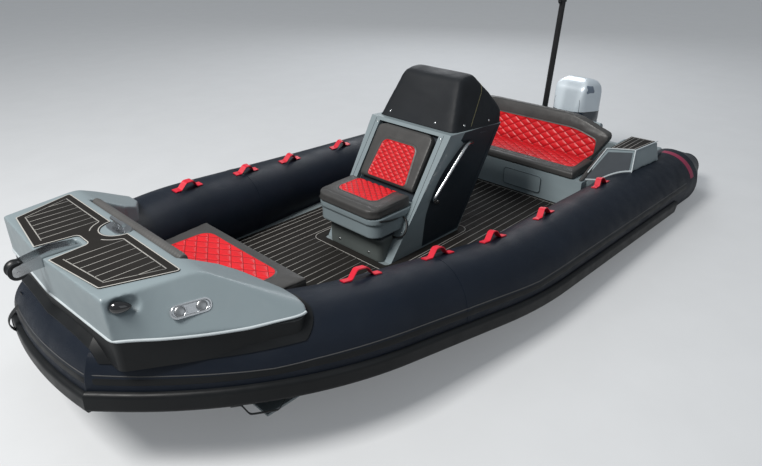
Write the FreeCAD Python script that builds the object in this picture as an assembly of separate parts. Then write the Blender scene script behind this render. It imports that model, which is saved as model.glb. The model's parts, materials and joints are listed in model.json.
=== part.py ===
# Open rigid inflatable boat with a bow moulding, a console seat, a stern bench and an outboard engine.
# Millimetres. X forward, Y to port, Z up. The origin is amidships on the centre plane, at the waterline.
import FreeCAD
import Part

import math
import os

Vector = FreeCAD.Vector
os.makedirs("parts", exist_ok=True)

# Tubes: the centre line is a row of straight runs joined by bends
TUBE_R = 245.0
TUBE_Y = 1000.0
TUBE_STERN_X = -2120.0
TUBE_STERN_Z = 190.0
TUBE_BEND_X = 350.0
TUBE_BEND_Z = 272.0
TUBE_SHOULDER = (1900.0, 777.0, 438.0)
TUBE_CORNER = (2330.0, 300.0, 440.0)
TUBE_NOSE_X = 2352.0
MID_BEND_R = 3500.0
SHOULDER_BEND_R = 1650.0
CONE_LENGTH = 400.0
CONE_TIP_R = 118.0
SEAM_RUN = 545.0
SEAM_TAPE = (34.0, 1.6)
MITRE_LAP = 8.0

# Rubbing strake and fascia on the tubes
STRAKE_WIDTH = 96.0
STRAKE_PROUD = 26.0
STRAKE_DROP = 62.0
STRAKE_EDGE_R = 22.0
STRAKE_ROOT = 0.86
STRAKE_END_X = -1900.0

# Hull: rows of x, keel z, chine y, chine z, top y and top z
HULL_TOP_Z = 165.0
HULL_ROWS = (
    (-2000.0, -270.0, 790.0, -5.0, 800.0, HULL_TOP_Z),
    (-900.0, -270.0, 790.0, 0.0, 800.0, HULL_TOP_Z),
    (200.0, -268.0, 780.0, 12.0, 800.0, HULL_TOP_Z),
    (900.0, -250.0, 720.0, 40.0, 760.0, HULL_TOP_Z),
    (1400.0, -180.0, 600.0, 85.0, 660.0, HULL_TOP_Z),
    (1990.0, 10.0, 310.0, 138.0, 370.0, HULL_TOP_Z),
    (2130.0, 84.0, 180.0, 178.0, 230.0, 222.0),
    (2290.0, 205.0, 30.0, 262.0, 44.0, 300.0),
)
TRANSOM_X = -2000.0
TRANSOM_T = 45.0
TRANSOM_TOP_Z = 262.0
TRANSOM_WING_Z = 420.0
WELL_HALF = 330.0

# Deck
DECK_T = 12.0
FOAM_T = 6.0
DECK_HALF = 690.0
DECK_AFT_X = -985.0
DECK_FORE_X = 1418.0

# Small running gaps
SEAT_GAP = 0.3
MOVE_GAP = 6.0

# Bow moulding: lower outline and upper outline, port side, from the centre round to the tip
CAP_UNDERSIDE = ((1737.0, 646.0), (2500.0, 704.0))
CAP_TOP_Z = 893.0
CAP_FRONT_X = 2496.0
CAP_OUTLINE = (
    # x, y, corner radius
    (CAP_FRONT_X, 0.0, 0.0),
    (2464.0, 560.0, 50.0),
    (2180.0, 740.0, 1500.0),
    (1737.0, 944.0, 80.0),
    (1737.0, 690.0, 30.0),
    (1830.0, 500.0, 80.0),
    (2005.0, 370.0, 60.0),
    (2040.0, 0.0, 0.0),
)
# Moulding's side wall: x, y of its upper edge, y of its lower edge
CAP_WALL = (
    (2560.0, 515.0, 530.0),
    (2451.0, 537.0, 564.0),
    (2326.0, 560.0, 662.0),
    (2184.0, 586.0, 762.0),
    (1960.0, 634.0, 838.0),
    (1640.0, 735.0, 990.0),
)
PLATFORM_AFT_X = 2085.0
PLATFORM_EDGE_R = 16.0
WING_TIP_Z = 674.0
CAP_RIM_Z = 662.0
WING_BLEND_R = 160.0
FASCIA_Z = 560.0
FASCIA_INSET = 4.0
FASCIA_REACH = 28.0
FASCIA_T = 5.0
FASCIA_CORE = ((1600.0, -700.0), (1790.0, -760.0), (2260.0, -330.0), (2380.0, 0.0), (2260.0, 330.0), (1790.0, 760.0),
               (1600.0, 700.0))
WALL_STEP = 30.0

# Bow fittings
PANEL_T = 5.0
PANEL_FRONT_X = 2484.0
PANEL_REAR_X = 2136.0
PANEL_FRONT_HALF = 452.0
PANEL_REAR_HALF = 560.0
ROLLER_X = CAP_FRONT_X + 94.0
ROLLER_Z = 862.0
ROLLER_R = 40.0
ROLLER_HALF = 24.0
ROLLER_PIN_R = 6.0
BRACKET_T = 5.0
BOLSTER_X = 2062.0
BOLSTER_Z = 868.0
BOLSTER_HALF = 440.0
CLEAT_X = 2137.0
NOTCH_X = CAP_FRONT_X - 176.0
NOTCH_Z = 848.0

LAMP_AT = (2411.0, 847.0)
LAMP_R = 25.0
POCKET_R = 44.0
POCKET_DEPTH = 26.0
POCKET_RUN = 42.0
FLUSH_AT = (2179.0, 783.0)
FLUSH_HALF = (84.0, 29.0)
FLUSH_T = 6.0
CARRY_X = (2010.0, 1760.0)
CARRY_LEAN = -133.0
EYE_X = 2200.0
EYE_Z = 112.0
EYE_R = 13.0
EYE_T = 10.0

# Bow locker and its lid
LOCKER_AFT_X = 1425.0
LOCKER_FORE_X = 1975.0
LOCKER_TOP_Z = 452.0
WALL = 16.0
CUSHION_T = 68.0
CUSHION_SIDE = ((LOCKER_AFT_X, 485.0), (1740.0, 450.0), (1950.0, 330.0))

# Console: a leaning moulding, lower and upper outline
CONSOLE_BOTTOM = (-92.0, 605.0, 300.0)
CONSOLE_TOP = (-478.0, 107.0, 352.0)
CONSOLE_TOP_Z = 935.0
CONSOLE_REAR_DROP = 40.0
PANEL_SKIN = 6.0
PANEL_SIDE = ((-60.0, 190.0), (300.0, 190.0), (290.0, 430.0, 300.0), (195.0, 660.0, 500.0), (-40.0, 850.0, 300.0),
              (-215.0, 880.0, 60.0), (-400.0, 862.0))
RAIL_TOP = (-20.0, 862.0)
RAIL_LOW = (285.0, 545.0)
RAIL_TURN = (110.0, 60.0)
RAIL_OUT = 48.0
RAIL_R = 12.5
COVER_RIDGE_X = -170.0
COVER_RIDGE_Z = 1262.0
COVER_RIDGE_HALF = 235.0

# Front seat on the console
SEAT_HALF = 275.0
SEAT_BACK_HALF = 246.0
BAY_HALF = 264.0
SEAT_FRONT_X = 728.0
SEAT_REAR_X = 372.0
SEAT_ROOT_X = 300.0
SEAT_TOP_Z = 512.0
SEAT_PLINTH_X = 645.0
# Seat base, from the deck up: height of each layer's top, setback of its front, of its sides, and corner radius
SEAT_LAYERS = (
    (335.0, SEAT_FRONT_X - SEAT_PLINTH_X, 30.0, 40.0),
    (376.0, 96.0, 42.0, 40.0),
    (462.0, 10.0, 8.0, 75.0),
    (470.0, 22.0, 18.0, 70.0),
    (SEAT_TOP_Z, 0.0, 0.0, 80.0),
)
SEAT_CUSHION_T = 82.0

# Stern bench
BENCH_FRONT_X = -1000.0
BENCH_REAR_X = -1345.0
BENCH_TOP_Z = 398.0
BENCH_HALF = 700.0
BENCH_CUSHION_T = 62.0
BACK_TOP_X = -1430.0
BACK_TOP_Z = 778.0
BACK_T = 72.0
BACK_HALF = 765.0
BACK_END_Z = 665.0
BACK_FOOT_HALF = 615.0
HATCH_HALF_W = 170.0
HATCH_Z = (215.0, 350.0)
HATCH_Y = 255.0
HATCH_T = 10.0

# Stern steps beside the bench
STEP_TOP_Z = 600.0
STEP_FOOT_Z = 400.0
STEP_TOP = ((-1283.0, 789.0), (-1390.0, 965.0), (-1713.0, 1000.0), (-1700.0, 789.0))
STEP_FOOT = ((-1050.0, 735.0), (-1265.0, 1012.0), (-1760.0, 1032.0), (-1760.0, 735.0))
STEP_EDGE = 12.0
PLATFORM_Z = 486.0
PLATFORM_HALF = 640.0
CHEEK_ENDS = ((-1350.0, 752.0, 560.0), (-1022.0, 736.0, 392.0))
CHEEK_R = 24.0

# Tow pole
POLE_X = -1639.0
POLE_LEAN = 5.5
POLE_R = 24.0
POLE_LENGTH = 1490.0

# Outboard engine
TILT_X = -2050.0
TILT_Z = 330.0
STEER_X = -2165.0
BRACKET_HALF = 150.0
BRACKET_PLATE_T = 22.0
COWL_FRONT_X = -2050.0
COWL_REAR_X = -2520.0
COWL_HALF = 196.0
COWL_BASE_Z = 440.0
COWL_TOP_Z = 872.0
COWL_WALL = 6.0
PAN_T = 18.0
LEG_X = STEER_X - 170.0
PLATE_Z = -290.0
PROP_Z = -468.0
PROP_X = LEG_X - 200.0
PROP_R = 163.0
PROP_BLADES = 3
GEARCASE_R = 52.0
SKEG_Z = -640.0

# Handles: x of the front and rear foot of each red strap
HANDLE_FEET = ((1494, 1279), (988, 787), (541, 349), (-10, -205), (-787, -987))
HANDLE_LEAN = 12.0
HANDLE_W = 42.0
HANDLE_T = 6.0
HANDLE_RISE = 46.0


def save(name, shape):
    """Write one node's solids."""
    if not shape.isValid():
        print("not valid:", name)
    shape.exportStep("parts/" + name + ".step")
    print(name, len(shape.Solids), round(shape.Volume / 1e6, 3))
    NODES[name] = shape


NODES = {}


def box(x0, x1, y0, y1, z0, z1):
    """A block between two corners."""
    corner = Vector(min(x0, x1), min(y0, y1), min(z0, z1))
    return Part.makeBox(abs(x1 - x0), abs(y1 - y0), abs(z1 - z0), corner)


def flip(shape):
    """The same shape on the other side of the centre plane."""
    return shape.mirror(Vector(0, 0, 0), Vector(0, 1, 0))


def both(shape):
    """A port shape with its starboard twin."""
    return Part.makeCompound([shape, flip(shape)])


def arc_corner(before, corner, after, radius):
    """Tangent points and middle of a bend of this radius at a corner."""
    back = (before - corner).normalize()
    ahead = (after - corner).normalize()
    half = back.getAngle(ahead) / 2
    reach = radius / math.tan(half)
    middle = (back + ahead).normalize()
    centre = corner + middle * (radius / math.sin(half))
    return corner + back * reach, centre - middle * radius, corner + ahead * reach


def rounded_wire(points, closed=False):
    """Straight runs joined by tangent arcs, from rows of point and bend radius."""
    count = len(points)
    stops = []
    for i, (point, radius) in enumerate(points):
        ends = not closed and i in (0, count - 1)
        if radius <= 0 or ends:
            stops.append((point, None, point))
            continue
        stops.append(arc_corner(points[i - 1][0], point, points[(i + 1) % count][0], radius))
    edges = []
    for i, (enter, middle, leave) in enumerate(stops):
        if middle is not None:
            edges.append(Part.Arc(enter, middle, leave).toShape())
        if i == count - 1 and not closed:
            break
        target = stops[(i + 1) % count][0]
        if (target - leave).Length > 0.01:
            edges.append(Part.makeLine(leave, target))
    return Part.Wire(edges)


def plan(outline, z0, z1):
    """A flat outline of x, y and corner radius, pulled up from z0 to z1."""
    rows = [(Vector(p[0], p[1], z0), p[2] if len(p) > 2 else 0.0) for p in outline]
    return Part.Face(rounded_wire(rows, True)).extrude(Vector(0, 0, z1 - z0))


def side(outline, y0, y1):
    """A side outline of x, z and corner radius, pulled across from y0 to y1."""
    rows = [(Vector(p[0], y0, p[1]), p[2] if len(p) > 2 else 0.0) for p in outline]
    return Part.Face(rounded_wire(rows, True)).extrude(Vector(0, y1 - y0, 0))


def front(outline, x0, x1):
    """An end outline of y, z and corner radius, pulled along from x0 to x1."""
    rows = [(Vector(x0, p[0], p[1]), p[2] if len(p) > 2 else 0.0) for p in outline]
    return Part.Face(rounded_wire(rows, True)).extrude(Vector(x1 - x0, 0, 0))


def whole(half):
    """A port outline with its mirror, so that it closes round the centre plane."""
    twin = [(p[0], -p[1]) + tuple(p[2:]) for p in reversed(half) if abs(p[1]) > 0.01]
    return list(half) + twin


def sweep(face, wire):
    """A flat face carried along a wire of lines and arcs that starts at it."""
    pieces = []
    for edge in wire.OrderedEdges:
        begin, end = edge.FirstParameter, edge.LastParameter
        moved = face.copy()
        if isinstance(edge.Curve, Part.Line):
            run = edge.valueAt(end) - edge.valueAt(begin)
            pieces.append(face.extrude(run))
            moved.translate(run)
        else:
            turn = math.degrees(end - begin)
            pieces.append(face.revolve(edge.Curve.Center, edge.Curve.Axis, turn))
            moved.rotate(edge.Curve.Center, edge.Curve.Axis, turn)
        face = moved
    return pieces[0].fuse(pieces[1:]) if len(pieces) > 1 else pieces[0]


def disc_sweep(wire, radius):
    """A round bar along a wire of lines and arcs."""
    first = wire.OrderedEdges[0]
    ring = Part.makeCircle(radius, first.valueAt(first.FirstParameter), first.tangentAt(first.FirstParameter))
    return sweep(Part.Face(Part.Wire([ring])), wire)


def rod(a, b, radius):
    """A straight round bar from a to b."""
    return Part.makeCylinder(radius, (b - a).Length, a, b - a)


def soften(shape, edges, radius):
    """Round some edges."""
    return shape.makeFillet(radius, edges) if edges else shape


def upright(shape, least=30.0):
    """The edges that stand straight up."""
    found = []
    for edge in shape.Edges:
        a, b = edge.Vertexes[0].Point, edge.Vertexes[-1].Point
        if abs(a.x - b.x) < 0.01 and abs(a.y - b.y) < 0.01 and abs(a.z - b.z) > least:
            found.append(edge)
    return found



# Tube centre line, port side, from the stern to the bow
STERN = Vector(TUBE_STERN_X, TUBE_Y, TUBE_STERN_Z)
BEND = Vector(TUBE_BEND_X, TUBE_Y, TUBE_BEND_Z)
SHOULDER = Vector(*TUBE_SHOULDER)
CORNER = Vector(*TUBE_CORNER)
NOSE = Vector(TUBE_NOSE_X, 0, TUBE_CORNER[2])
NOSE_BOW = NOSE.x - CORNER.x
NOSE_BEND_R = (CORNER.y ** 2 + NOSE_BOW ** 2) / (2 * NOSE_BOW)
NOSE_CENTRE = NOSE - Vector(NOSE_BEND_R, 0, 0)
NOSE_TANGENT = (CORNER - NOSE_CENTRE).cross(Vector(0, 0, 1)).normalize()
RUN = (SHOULDER - BEND).normalize()
SEAM = BEND + RUN * SEAM_RUN


def mitre_half(keep_aft, overlap=0.0):
    """A big block on one side of the corner's mitre plane, or a little past it."""
    inward = (SHOULDER - CORNER).normalize()
    normal = (inward - NOSE_TANGENT).normalize()
    size = 6000.0
    block = Part.makeBox(size, size, size, Vector(-size / 2, -size / 2, 0 if keep_aft else -size))
    foot = CORNER + normal * (-overlap if keep_aft else overlap)
    block.Placement = FreeCAD.Placement(foot, FreeCAD.Rotation(Vector(0, 0, 1), normal))
    return block


def tube_shoulder(radius, overlap=0.0):
    """The bow tube's port run, from its seam round the shoulder to the mitre at the corner."""
    tip = CORNER + (CORNER - SHOULDER).normalize() * 400
    run = disc_sweep(rounded_wire([(SEAM, 0), (SHOULDER, SHOULDER_BEND_R), (tip, 0)]), radius)
    return run.common(mitre_half(True, overlap))


def tube_nose(radius, overlap=0.0):
    """The bowed run across the nose, from one mitre to the other."""
    spread = math.radians(14)
    start = NOSE_CENTRE + Vector(math.cos(spread), -math.sin(spread), 0) * NOSE_BEND_R
    disc = Part.Face(Part.Wire([Part.makeCircle(radius, start, Vector(math.sin(spread), math.cos(spread), 0))]))
    run = disc.revolve(NOSE_CENTRE, Vector(0, 0, 1), 2 * math.degrees(spread))
    half = mitre_half(False, overlap)
    return run.common(half).common(flip(half))


def tube_aft(radius):
    """The long tube from its cone to the seam, port side."""
    rows = [(STERN, 0), (BEND, MID_BEND_R), (SEAM, 0)]
    body = disc_sweep(rounded_wire(rows), radius)
    back = (STERN - BEND).normalize()
    cone = Part.makeCone(radius, CONE_TIP_R, CONE_LENGTH, STERN, back)
    tip = Part.makeSphere(CONE_TIP_R, STERN + back * CONE_LENGTH)
    return body.fuse(cone).fuse(tip).removeSplitter()


def all_tubes(radius):
    """Every tube as a list of solids, to cut neighbours back to them."""
    port = [tube_aft(radius), tube_shoulder(radius, MITRE_LAP), seam_tape()]
    return port + [flip(tube) for tube in port] + [tube_nose(radius, MITRE_LAP)]


def trimmed(shape, others):
    """A shape cut back to its neighbours, one after another, as its largest remaining solid."""
    for other in others:
        if shape.BoundBox.intersect(other.BoundBox):
            shape = shape.cut(other)
    return max(shape.Solids, key=lambda s: s.Volume)


def seam_tape():
    """The raised band where the bow tube joins the port tube."""
    width, thick = SEAM_TAPE
    tape = Part.makeCylinder(TUBE_R + thick, width, SEAM, RUN)
    return tape.cut(Part.makeCylinder(TUBE_R, width, SEAM, RUN))


TUBES = all_tubes(TUBE_R)
TUBES_CLEAR = all_tubes(TUBE_R + MOVE_GAP)


def build_tubes():
    """Port and starboard tubes, each in two chambers, and the bow tube's three runs, with their seam tapes."""
    whole_tube = tube_aft(TUBE_R)
    ahead = box(BEND.x, 2 * BEND.x + SEAM_RUN, 0, 2 * TUBE_Y, -TUBE_Y, TUBE_Y)
    aft = whole_tube.cut(ahead)
    fore = whole_tube.common(ahead)
    save("tube_mid_port", fore)
    save("tube_mid_starboard", flip(fore))
    shoulder = tube_shoulder(TUBE_R).fuse(seam_tape()).removeSplitter()
    save("tube_port", aft)
    save("tube_starboard", flip(aft))
    save("tube_shoulder_port", shoulder)
    save("tube_shoulder_starboard", flip(shoulder))
    save("tube_nose", tube_nose(TUBE_R))


def strake_outline(foot):
    """The strake's section, standing on the tube's middle at this point."""
    inner = TUBE_R * STRAKE_ROOT
    outer = TUBE_R + STRAKE_PROUD
    low, high = -STRAKE_DROP - STRAKE_WIDTH / 2, -STRAKE_DROP + STRAKE_WIDTH / 2
    out = Vector(0, 1, 0)
    if abs(foot.y) < 1:
        out = Vector(1, 0, 0)
    rows = [(foot + out * reach + Vector(0, 0, z), bend) for reach, z, bend in
            ((inner, low, 0), (outer, low, STRAKE_EDGE_R), (outer, high, STRAKE_EDGE_R), (inner, high, 0))]
    return Part.Face(rounded_wire(rows, True))


def build_strake():
    """The rubbing strake round the outside of the tubes, a little below half height."""
    start = STERN + (BEND - STERN) * ((STRAKE_END_X - STERN.x) / (BEND.x - STERN.x))
    tip = CORNER + (CORNER - SHOULDER).normalize() * 400
    course = rounded_wire([(start, 0), (BEND, MID_BEND_R), (SHOULDER, SHOULDER_BEND_R), (tip, 0)])
    port = trimmed(sweep(strake_outline(start), course).common(mitre_half(True)), TUBES)
    save("strake_port", port)
    save("strake_starboard", flip(port))
    spread = 16.0
    nose = strake_outline(NOSE)
    nose.rotate(NOSE_CENTRE, Vector(0, 0, 1), -spread)
    nose = nose.revolve(NOSE_CENTRE, Vector(0, 0, 1), 2 * spread)
    nose = nose.common(mitre_half(False)).common(flip(mitre_half(False)))
    save("strake_nose", trimmed(nose, TUBES))


def build_hull():
    """The aluminium hull between the tubes, decked and solid, with its transom and deck."""
    sections = []
    for x, keel, chine_y, chine_z, top_y, top_z in HULL_ROWS:
        corners = [Vector(x, 0, keel), Vector(x, chine_y, chine_z), Vector(x, top_y, top_z),
                   Vector(x, -top_y, top_z), Vector(x, -chine_y, chine_z), Vector(x, 0, keel)]
        sections.append(Part.makePolygon(corners))
    save("hull", trimmed(Part.makeLoft(sections, True, True), TUBES))
    wings = front([(-800, HULL_TOP_Z, 0), (800, HULL_TOP_Z, 0), (800, TRANSOM_WING_Z, 0),
                   (WELL_HALF + 60, TRANSOM_WING_Z, 60), (WELL_HALF, TRANSOM_TOP_Z, 60),
                   (-WELL_HALF, TRANSOM_TOP_Z, 60), (-WELL_HALF - 60, TRANSOM_WING_Z, 60),
                   (-800, TRANSOM_WING_Z, 0)], TRANSOM_X, TRANSOM_X + TRANSOM_T)
    save("transom", trimmed(wings, TUBES))
    deck_z = HULL_TOP_Z + DECK_T
    deck = box(TRANSOM_X + TRANSOM_T, LOCKER_FORE_X, -820, 820, HULL_TOP_Z, deck_z)
    save("deck", trimmed(deck, TUBES))
    foam = plan([(DECK_AFT_X, -DECK_HALF, 0), (DECK_FORE_X, -DECK_HALF, 0), (DECK_FORE_X, DECK_HALF, 0),
                 (DECK_AFT_X, DECK_HALF, 0)], deck_z, deck_z + FOAM_T)
    plinth = plan([(CONSOLE_BOTTOM[0] - 12, -CONSOLE_BOTTOM[2] - 12, 30), (CONSOLE_BOTTOM[1] + 42, -300, 30),
                   (CONSOLE_BOTTOM[1] + 42, 300, 30), (CONSOLE_BOTTOM[0] - 12, CONSOLE_BOTTOM[2] + 12, 30)],
                  deck_z - 10, deck_z + 40)
    save("deck_foam", trimmed(foam.cut(plinth), TUBES_CLEAR))


def cap_wall(top_z, base_z):
    """The space outside the moulding's side wall, port side, which leans out more and more towards the stern."""
    sections = []
    for x, upper, lower in CAP_WALL:
        lean = (lower - upper) / (top_z - base_z)
        above, below = top_z + 60, base_z - 120
        sections.append(Part.makePolygon([
            Vector(x, upper - lean * (above - top_z), above), Vector(x, lower + lean * (base_z - below), below),
            Vector(x, 1500, below), Vector(x, 1500, above), Vector(x, upper - lean * (above - top_z), above)]))
    return Part.makeLoft(sections, True)


def wall_point(x, z):
    """The point of the moulding's side wall at some x and height, port side."""
    for (x1, upper1, lower1), (x0, upper0, lower0) in zip(CAP_WALL, CAP_WALL[1:]):
        if x0 <= x <= x1:
            share = (x - x0) / (x1 - x0)
            upper, lower = upper0 + (upper1 - upper0) * share, lower0 + (lower1 - lower0) * share
    return Vector(x, upper + (lower - upper) * (CAP_TOP_Z - z) / (CAP_TOP_Z - CAP_RIM_Z), z)


def wall_frame(x, z):
    """A point of the side wall with its directions aft along the wall, up it and out of it."""
    middle = wall_point(x, z)
    aft = (wall_point(x - WALL_STEP, z) - middle).normalize()
    rise = (wall_point(x, z + WALL_STEP) - middle).normalize()
    out = aft.cross(rise).normalize()
    return middle, aft, out.cross(aft), out


def capsule(a, b, radius):
    """A round bar with ball ends."""
    return rod(a, b, radius).fuse([Part.makeSphere(radius, a), Part.makeSphere(radius, b)])


def above_underside(gap=0.0):
    """Everything above the moulding's underside, which rises towards the bow."""
    (aft, low), (fore, high) = CAP_UNDERSIDE
    reach = fore - aft
    return side([(aft - reach, 2 * low - high - gap), (fore + reach, 2 * high - low - gap),
                 (fore + reach, 2 * CAP_TOP_Z), (aft - reach, 2 * CAP_TOP_Z)], -TUBE_Y, TUBE_Y)


def cap_body():
    """The bow moulding before its pockets are cut."""
    low = CAP_UNDERSIDE[0][1] - WALL
    body = plan(whole(CAP_OUTLINE), low, CAP_TOP_Z)
    tip_x = CAP_OUTLINE[3][0] - 20
    profile = [(CAP_FRONT_X + 100, low), (CAP_FRONT_X + 100, CAP_TOP_Z),
               (PLATFORM_AFT_X, CAP_TOP_Z, 150), (tip_x, WING_TIP_Z), (tip_x, low)]
    body = body.common(side(profile, -TUBE_Y, TUBE_Y)).common(above_underside())
    wall = cap_wall(CAP_TOP_Z, CAP_RIM_Z)
    body = body.cut(wall).cut(flip(wall))
    for hand in (1, -1):
        ridge = [edge for edge in body.Edges
                 if edge.BoundBox.XMin < PLATFORM_AFT_X - 185 and edge.BoundBox.XMax > PLATFORM_AFT_X - 95
                 and edge.BoundBox.ZMin > CAP_RIM_Z + 8 and edge.BoundBox.Center.y * hand > 600]
        body = body.makeFillet(WING_BLEND_R, PLATFORM_EDGE_R, ridge)
    return body


def build_cap():
    """The bow moulding, the rubber fascia under its rim and the foam panel on it."""
    body = trimmed(cap_body(), TUBES + [BOLSTER_ROOM, NOTCH]).cut(NAV_POCKETS)
    save("bow_cap", body)
    save("bow_fascia", fascia(body))
    panel = plan(whole([(PANEL_FRONT_X, 0, 0), (PANEL_FRONT_X - 50, PANEL_FRONT_HALF, 14),
                        (PANEL_REAR_X, PANEL_REAR_HALF, 14), (PANEL_REAR_X, 0, 0)]),
                 CAP_TOP_Z, CAP_TOP_Z + PANEL_T)
    panel = panel.cut(plan([(NOTCH_X - 20, -58, 25), (CAP_FRONT_X + 200, -110), (CAP_FRONT_X + 200, 110),
                            (NOTCH_X - 20, 58, 25)], CAP_TOP_Z - 5, CAP_TOP_Z + 20))
    well = Part.makeCylinder(84, 30, Vector(CLEAT_X, 0, CAP_TOP_Z - 5))
    save("bow_foam", panel.cut(well))


def fascia(cap):
    """The rubber band under the moulding's rim: a filler over the tubes and an apron that lies on them."""
    footprint = Part.Face(rounded_wire([(Vector(x, y, FASCIA_Z), r) for x, y, r in whole(CAP_OUTLINE)], True))
    rise = Vector(0, 0, CAP_TOP_Z - FASCIA_Z)
    core = plan(FASCIA_CORE, FASCIA_Z - WALL, CAP_TOP_Z + WALL)
    filler = footprint.makeOffset2D(-FASCIA_INSET).extrude(rise).cut(core).cut(above_underside(SEAT_GAP))
    apron = footprint.makeOffset2D(FASCIA_REACH).extrude(rise).cut(core)
    shells = [tube_shoulder(TUBE_R + FASCIA_T), tube_nose(TUBE_R + FASCIA_T)]
    shells.append(flip(shells[0]))
    band = filler.fuse([apron.common(shell) for shell in shells])
    return trimmed(band, TUBES + [cap])


def build_bow_fittings():
    """Roller, its bracket, the cleats, the lamps and the bolster behind the moulding."""
    z = ROLLER_Z
    inner = ROLLER_HALF + MOVE_GAP
    outer = inner + BRACKET_T
    cheek = side([(ROLLER_X + 26, z - 22, 18), (ROLLER_X + 22, z + 26, 18), (ROLLER_X - 150, CAP_TOP_Z + 22, 20),
                  (NOTCH_X + 10, CAP_TOP_Z + 6, 8), (NOTCH_X + 10, NOTCH_Z, 4), (ROLLER_X - 54, NOTCH_Z, 10)],
                 inner, outer)
    pin = rod(Vector(ROLLER_X, -outer - 2, z), Vector(ROLLER_X, outer + 2, z), ROLLER_PIN_R)
    base = box(NOTCH_X + 16, CAP_FRONT_X - 28, -outer + 1, outer - 1, NOTCH_Z, NOTCH_Z + BRACKET_T)
    bracket = cheek.fuse([flip(cheek), pin, base])
    save("roller_bracket", bracket)
    roll = Part.makeCylinder(ROLLER_R, 2 * ROLLER_HALF, Vector(ROLLER_X, -ROLLER_HALF, z), Vector(0, 1, 0))
    groove = Part.makeTorus(ROLLER_R + 14, 24, Vector(ROLLER_X, 0, z), Vector(0, 1, 0))
    bore = Part.makeCylinder(ROLLER_PIN_R + 0.3, 80, Vector(ROLLER_X, -40, z), Vector(0, 1, 0))
    save("bow_roller", roll.cut(groove).cut(bore))
    oval = plan([(CLEAT_X - 40, -76, 38), (CLEAT_X + 40, -76, 38), (CLEAT_X + 40, 76, 38),
                 (CLEAT_X - 40, 76, 38)], CAP_TOP_Z, CAP_TOP_Z + 6)
    bar = rod(Vector(CLEAT_X, -62, CAP_TOP_Z + 34), Vector(CLEAT_X, 62, CAP_TOP_Z + 34), 9)
    posts = [Part.makeCylinder(9, 30, Vector(CLEAT_X, y, CAP_TOP_Z + 4)) for y in (-28, 28)]
    save("bow_cleat", oval.fuse([bar] + posts).removeSplitter())
    body = side([(BOLSTER_X - 32, BOLSTER_Z - 62, 28), (BOLSTER_X + 26, BOLSTER_Z - 62, 10),
                 (BOLSTER_X + 26, BOLSTER_Z + 26, 24), (BOLSTER_X - 32, BOLSTER_Z + 26, 28)],
                -BOLSTER_HALF, BOLSTER_HALF)
    save("bow_bolster", body)


def build_lamps():
    """Lamps in their pockets, flush cleats on the wings and the black carry loops."""
    lamp = Part.makeSphere(LAMP_R, LAMP_POCKET - LAMP_OUT * (POCKET_R - LAMP_R - SEAT_GAP))
    save("nav_lamps", both(lamp))
    centre, along, up, out = wall_frame(*FLUSH_AT)
    half_long, half_high = FLUSH_HALF
    rows = [(centre + along * u + up * v, half_high - 1) for u, v in
            ((-half_long, -half_high), (half_long, -half_high), (half_long, half_high), (-half_long, half_high))]
    plate = Part.Face(rounded_wire(rows, True)).extrude(out * FLUSH_T)
    save("flush_cleats", both(trimmed(plate, [NODES["bow_cap"]])))
    loop = strap(CARRY_X[0], CARRY_X[1], CARRY_LEAN)
    save("carry_loops", both(trimmed(loop, TUBES)))
    eye = side([(EYE_X - 46, EYE_Z + 70, 0), (EYE_X - 40, EYE_Z - 30, 26), (EYE_X + 30, EYE_Z - 26, 26),
                (EYE_X + 46, EYE_Z + 70, 0)], -EYE_T / 2, EYE_T / 2)
    eye = eye.cut(Part.makeCylinder(EYE_R, 40, Vector(EYE_X, -20, EYE_Z), Vector(0, 1, 0)))
    eye = trimmed(eye, [NODES["hull"]] + TUBES)
    stern = plan([(TRANSOM_X, 450, 0), (TRANSOM_X - 52, 472, 16), (TRANSOM_X - 52, 508, 16), (TRANSOM_X, 530, 0)],
                 TRANSOM_TOP_Z, TRANSOM_TOP_Z + EYE_T)
    stern = stern.cut(Part.makeCylinder(EYE_R, 40, Vector(TRANSOM_X - 28, 490, TRANSOM_TOP_Z - 10)))
    save("tow_eyes", Part.makeCompound([eye, stern, flip(stern)]))


def locker_outline(inset):
    """The locker's plan between the tubes, pulled in by some distance."""
    rows = [(x - (inset if i == 2 else -inset if i == 0 else 0), y - inset, 0)
            for i, (x, y) in enumerate(CUSHION_SIDE)]
    return whole(rows)


def build_locker():
    """The bow locker and its hinged cushion lid."""
    deck_z = HULL_TOP_Z + DECK_T
    shell = trimmed(plan(locker_outline(8), deck_z, LOCKER_TOP_Z), TUBES)
    hole = plan(locker_outline(8 + 60), deck_z + WALL, LOCKER_TOP_Z + 10)
    save("bow_locker", shell.cut(hole))
    lid = plan(locker_outline(0), LOCKER_TOP_Z + SEAT_GAP, LOCKER_TOP_Z + SEAT_GAP + CUSHION_T)
    save("bow_cushion", trimmed(lid, TUBES_CLEAR))


def leaning(bottom, top, z0, z1, grow=0.0):
    """A four sided leaning block from a lower to an upper rectangle of x aft, x fore and half width."""
    rings = []
    for (aft, fore, half), z in ((bottom, z0), (top, z1)):
        aft, fore, half = aft - grow, fore + grow, half + grow
        rings.append(Part.makePolygon([Vector(aft, -half, z), Vector(fore, -half, z), Vector(fore, half, z),
                                       Vector(aft, half, z), Vector(aft, -half, z)]))
    return Part.makeLoft(rings, True, True)


def console_front(z):
    """The x of the console's front face at some height."""
    deck_z = HULL_TOP_Z + DECK_T
    share = (z - deck_z) / (CONSOLE_TOP_Z - deck_z)
    return CONSOLE_BOTTOM[1] + (CONSOLE_TOP[1] - CONSOLE_BOTTOM[1]) * share


def console_side(x, z, out):
    """A point off the console's port side by some distance."""
    share = (z - HULL_TOP_Z - DECK_T) / (CONSOLE_TOP_Z - HULL_TOP_Z - DECK_T)
    return Vector(x, CONSOLE_BOTTOM[2] + (CONSOLE_TOP[2] - CONSOLE_BOTTOM[2]) * share + out, z)


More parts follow.
